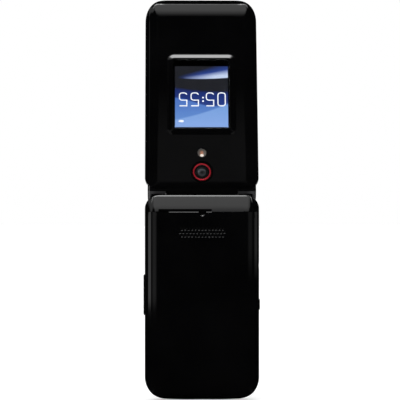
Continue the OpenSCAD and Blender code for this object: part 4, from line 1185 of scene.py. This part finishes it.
def outerPicture(lit, u, v):  # a beam of light over a sea and a shore
    wave, hill = (u * 2.6 + 0.4).sine(), (u * 3.4 - 1.2).sine()
    navy, blue = (0.012, 0.024, 0.14), (0.03, 0.075, 0.36)
    beamWide = 0.012 + 0.075 * u
    above = 0.185 - 0.055 * u + 0.02 * wave - v + beamWide * 0.7  # height over the beam's crisp lower edge
    crisp, far = above.rise(0.0, 0.006), above / beamWide
    beam, glow = crisp * (1 - far.rise(0.6, 1.7)), crisp * (1 - far.rise(1.2, 3.2))
    colour = lit.blend(glow * u.rise(0.05, 0.5), (0.016, 0.017, 0.021), blue)
    colour = lit.blend(beam * u.rise(0.15, 0.75), colour, (0.62, 0.72, 0.92))
    sea = (v - (0.33 + 0.07 * u + 0.03 * wave)).rise(0.0, 0.045)
    colour = lit.blend(sea, colour, lit.blend((v - 0.34).rise(0.0, 0.62), navy, blue))
    near = (v - (0.62 + 0.12 * hill - 0.12 * u)).rise(0.0, 0.02)
    colour = lit.blend(near, colour, lit.blend((v - 0.5).rise(0.0, 0.5), (0.07, 0.17, 0.55), (0.16, 0.33, 0.72)))
    shore = (v - (0.86 - 0.25 * u + 0.03 * wave)).rise(0.0, 0.02)
    return lit.blend(shore, colour, lit.blend((v - 0.6).rise(0.0, 0.4), (0.2, 0.38, 0.76), (0.27, 0.44, 0.85)))


def mainPicture(lit, u, v):  # swells under an evening sky
    wave, swell = (u * 3.0 + 0.6).sine(), (u * 2.2 - 0.8).sine()
    colour = lit.blend(v.rise(0.55, 1.0), (0.02, 0.05, 0.26), (0.012, 0.014, 0.03))
    far = (v - (0.56 + 0.07 * wave)).rise(-0.01, 0.0)
    colour = lit.blend(far, lit.blend(v.rise(0.1, 0.6), (0.12, 0.28, 0.66), (0.03, 0.09, 0.4)), colour)
    nearer = (v - (0.34 + 0.09 * swell)).rise(-0.01, 0.0)
    colour = lit.blend(nearer, lit.blend(v.rise(0.0, 0.35), (0.3, 0.48, 0.85), (0.15, 0.32, 0.7)), colour)
    glow = 1 - ((v - (0.7 + 0.1 * u)).size() / (0.015 + 0.05 * (1 - u))).rise(0.2, 1.0)
    colour = lit.blend(glow * (1 - u).rise(0.1, 0.9), colour, (0.6, 0.7, 0.9))
    for bar in ((v - 0.945).rise(0.0, 0.004), 1 - (v - 0.075).rise(0.0, 0.004)):  # at the top and the foot
        colour = lit.blend(bar * 0.7, colour, (0.004, 0.005, 0.01))
    return colour


# The clock reads upright when the lid is shut, so it's upside down on the open phone
clockSettings = {"w": 3.5, "h": 6.6, "round": 1.2, "stroke": 0.5, "z": 43.5, "rise": 0.015, "dot": 0.78,
                 "places": (-9.6, -4.05, -0.73, 3.25, 8.8)}


def bend(x, z, r, start, end, steps=8):
    angles = [radians(start + (end - start) * k / steps) for k in range(steps + 1)]
    return [(x + r * cos(a), z + r * sin(a)) for a in angles]


def timeFigures(s):  # thin figures made of strokes, upright as seen from -Y
    w, h, r, rise, dot = s["w"] / 2, s["h"] / 2, s["round"], s["rise"], s["dot"]
    loop = (bend(w - r, h - r, r, 0, 90) + bend(r - w, h - r, r, 90, 180) + bend(r - w, r - h, r, 180, 270)
            + bend(w - r, r - h, r, 270, 360))
    five = ([(w, h), (-w, h), (-w, 0.12 * h)] + bend(w - r, 0.12 * h - r, r, 90, 0) + bend(w - r, r - h, r, 0, -90)
            + bend(r - w, r - h, r, 270, 195))
    parts = []
    for figure, x in zip("05:55", s["places"]):
        if figure == ":":
            parts += [moved(plate(0, 0, -rise, rise, dot, dot, 0.2), x, 0, side * 0.27 * h) for side in (-1, 1)]
        else:
            parts.append(moved(stroke(loop if figure == "0" else five, s["stroke"], rise, figure == "0"), x, 0, 0))
    return joined(parts)


o = outerSettings
lit = picture("outer picture", o, True, outerPicture)
finished(pad(0, o["z"], o["screen"]), "outerScreen", "sub_display", lit)
clock = timeFigures(clockSettings)
clock.data.transform(Matrix.Rotation(pi, 4, "X"))  # faces out of the lid, upside down
moved(clock, 0, 6.925, clockSettings["z"])
finished(clock, "outerClock", "sub_display", inkLight, extra=True)
cell = joined([plate(x, z, *o["marks"], *size) for x, z, *size in o["cell"]])
finished(cell, "chargeMark", "sub_display", inkLight, extra=True)
finished(pad(0, o["z"], o["window"], 12), "outerWindow", "sub_window", windowGlass)
print("outer display done")

# Main display

m = mainSettings
lit = picture("main picture", m, False, mainPicture)
finished(pad(0, m["z"], m["screen"]), "mainScreen", "main_display", lit)
signs = [(-19.5 + 0.9 * k, 83.05 + 0.25 * k, 0.55, 0.7 + 0.5 * k, 0.1) for k in range(4)]  # signal bars
signs += [(18.6, 83.4, 2.6, 1.3, 0.25), (20.15, 83.4, 0.35, 0.6, 0.1)]  # charge
signs += [(side * 15.0, 24.4, 5.0, 0.45, 0.2) for side in (-1, 1)]  # over the soft keys
mainMarks = joined([moved(digits("05:55", 11.5, 0.008), 0, 1.385, 70.0)]
                   + [plate(x, z, *m["marks"], *size) for x, z, *size in signs])
finished(mainMarks, "mainMarks", "main_display", inkLight, extra=True)
finished(pad(0, m["z"], m["window"], 10), "mainWindow", "main_window", windowGlass)
print("main display done")

# Everything else keeps its solid


def boardGreen():
    paint = Finish("solder mask", ior=1.5, coatWeight=0.4)
    tracks = paint.add("ShaderNodeTexVoronoi", {"distance": "MANHATTAN"}, {"Vector": paint.spot, "Scale": 0.7})
    line = 1 - (tracks - 0.5).size().rise(0.03, 0.06)
    paint.set(baseColor=paint.blend(line, (0.012, 0.11, 0.045), (0.03, 0.2, 0.08)),
              roughness=0.32 + paint.noise(3.0) * 0.1)
    paint.bump(line, 0.3, 0.00003)
    return paint.material


steel, gold = metal("plated steel", (0.56, 0.56, 0.57)), metal("gold plate", (0.83, 0.6, 0.24), rough=0.18)
board = boardGreen()
inside = {
    "battery": mattePlastic("battery sleeve", (0.05, 0.05, 0.055), 0.42, 2.0, 0.08),
    "battery_contacts": gold, "main_board": board, "shield_cans": steel,
    "dome_sheet": mattePlastic("dome film", (0.62, 0.6, 0.52), 0.35, 1.0, 0.05),
    "speaker": deepBlack, "vibration_motor": steel, "microphone": deepBlack, "usb_port": steel,
    "headset_jack": deepBlack, "sim_holder": steel, "antenna": gold, "base_screws": steel,
    "hinge_cam": steel, "hinge_pin": steel, "nav_plate": steel, "flash_led": flashPaintedGlow,
    "earpiece": deepBlack, "lid_board": board,
    "lid_flex": mattePlastic("flex film", (0.5, 0.24, 0.04), 0.3, 1.5, 0.05), "lid_magnet": steel,
    "lid_bumpers": mattePlastic("soft rubber", (0.018, 0.018, 0.018), 0.75, 9.0, 0.4),
    "lid_screws": steel, "hinge_cartridge": steel, "hinge_spring": steel,
}
for node, material in inside.items():
    smoothCopy(node, material)
for node, obj in nodes.items():  # hidden solids take a finish too
    obj.data.materials.clear()
    obj.data.materials.append(inside.get(node, shellBlack))
print("inner parts done")

# Floor, world and lamps


def floorPaint():
    paint = Finish("floor", roughness=0.9, ior=1.3)
    paint.set(baseColor=paint.blend(paint.noise(0.02, 3.0), (0.86, 0.86, 0.86), (0.9, 0.9, 0.9)))
    seen = paint.add("ShaderNodeLightPath", out="Is Camera Ray")
    glow = paint.add("ShaderNodeEmission", None, {"Color": (1, 1, 1, 1), "Strength": seen * 0.45})
    feed(paint.tree, paint.out.inputs[0], paint.add("ShaderNodeAddShader", None, {0: paint.shader, 1: glow}))
    return paint.material


floorSettings = {"half": 6.0, "z": cadBox[0][2]}
bm = bmesh.new()
bmesh.ops.create_grid(bm, x_segments=2, y_segments=2, size=floorSettings["half"])
floor = moved(fromBmesh(bm), 0, 0, floorSettings["z"])
floor.name = floor.data.name = "floor"
floor.data.materials.append(floorPaint())
floor.visible_glossy = False

studio = {
    "even": 0.8,
    "ceiling": 1.3,  # over the phone, from 42 degrees above the camera to the zenith
    "curve": [(0, 0.0), (35, 0.06), (38, 0.06), (39.5, 0.0), (42, 0.0), (44, 0.1), (47, 0.2), (50, 0.42),
              (54.6, 0.62), (58.7, 0.85), (63, 1.0), (83, 0.98)],
    "strip": 6.8, "stripFrom": 84.5, "stripTo": 91.0, "bentAt": 93.4, "bow": 30.0,
    "sides": [  # which side, heights, then panels: bearing from and to, soft edge, strength
        (1, (-0.056, 0.06, 0.003), [(62.0, 92.0, 4.0, 1.0), (12.0, 46.0, 8.0, 0.28)]),
        (-1, (-0.035, 0.06, 0.008), [(76.0, 110.0, 8.0, 0.3), (14.0, 50.0, 8.0, 0.13)]),
    ],
    "rear": 0.5, "ground": 0.3, "front": 0.5,
    "shoulder": [(0.4, 0.81, 0.05), (-0.5, 0.36, 0.05), (0.46, 0.86, 0.04)], "shoulderLight": 0.6,  # x, y, z
}


def studioWorld(s):
    world = bpy.data.worlds.new("studio")
    scene.world = world
    world.use_nodes = True
    world.cycles.sampling_method = "NONE"
    room = Graph(world.node_tree)
    x, y, z = room.xyz(room.add("ShaderNodeTexCoord", out="Generated"))
    wide = x.size()

    def ray(kind):
        return room.add("ShaderNodeLightPath", out=kind)

    def between(value, start, end, soft):
        return value.rise(start - soft, start + soft) * (1 - value.rise(end - soft, end + soft))

    through = ray("Is Transmission Ray") * (0 - y).rise(0.0, 0.02)
    seen = ray("Is Camera Ray").atLeast(through)
    mirrored = ray("Is Glossy Ray").atLeast(ray("Is Transmission Ray"))
    over = room.angle(z, y) * (180 / pi)  # over the top: 0 at the camera, 90 straight up, 180 behind the phone
    bearing = room.angle(x, y) * (180 / pi)
    stops = [(a / 100, (v, v, v)) for a, v in s["curve"]]
    curve = room.add("ShaderNodeValToRGB", {"stops": stops}, {0: over / 100})
    low = 1 - over.rise(56.0, 62.0)
    reach = 1 - wide.rise(0.36, 0.5) * 0.9 - wide.rise(0.5, 0.6) * 0.1 - wide.rise(0.3, 0.42) * low
    reach = (reach - (0 - x).rise(0.14, 0.4) * 0.5).clip()
    ceiling = curve * (1 - over.rise(97.0, 103.0)) * reach * z.rise(0.0, 0.05)
    strip = (over.rise(s["stripFrom"] - 0.8, s["stripFrom"]) * (1 - over.rise(s["stripTo"], s["stripTo"] + 1))
             * (1 - x.rise(0.26, 0.32)) * (1 - (0 - x).rise(0.02, 0.14)))
    arc = (over + x * x * s["bow"] + x * x * x * x * s["bow"] - s["bentAt"]).size() + wide * 2.0
    bent = (1 - arc.rise(1.6, 2.6)) * (1 - x.rise(0.54, 0.62)) * (1 - (0 - x).rise(0.5, 0.6))
    gloss = ceiling * s["ceiling"] + strip.atLeast(bent) * s["strip"]
    for side, heights, panels in s["sides"]:
        turn = bearing * side
        glow = sum(between(turn, start, end, soft) * power for start, end, soft, power in panels)
        gloss = gloss + glow * between(z, *heights)
    rear = (0 - y).rise(0.05, 0.4) * wide.rise(0.25, 0.5) * (1 - wide.rise(0.7, 0.8))
    gloss = gloss + rear * z.rise(0.3, 0.5) * (1 - z.rise(0.7, 0.9)) * s["rear"]
    gloss = gloss + (0 - z).rise(0.1, 0.4) * wide.rise(0.3, 0.55) * s["ground"]
    gloss = gloss + (0 - y).rise(0.9, 0.97) * s["front"]
    shoulder = (y - z * 1.05 + 1.06).rise(0.18, 0.26) * s["shoulderLight"]
    for value, limits in zip((x, y, z), s["shoulder"]):
        shoulder = shoulder * between(value, *limits)
    base = (1 - mirrored) * s["even"] + mirrored * (gloss + shoulder)
    shine = room.add("ShaderNodeBackground", None, {"Color": (1, 1, 1, 1), "Strength": seen + (1 - seen) * base})
    room.add("ShaderNodeOutputWorld", None, {0: shine})


studioWorld(studio)

lampSettings = {  # place, size and power
    "key": ((0.6, 0.9, 1.1), 0.7, 3.0),
    "fill": ((-0.8, -0.8, 0.9), 0.8, 1.2),
}
for name, (place, size, power) in lampSettings.items():
    lamp = bpy.data.lights.new(name, "AREA")
    lamp.shape, lamp.size, lamp.energy = "DISK", size, power
    obj = newObject(lamp, name)
    obj.location = place
    obj.rotation_euler = (Vector((0, 0, 0.03)) - Vector(place)).to_track_quat("-Z", "Y").to_euler()
    obj.visible_glossy = False
print("stage and light done")
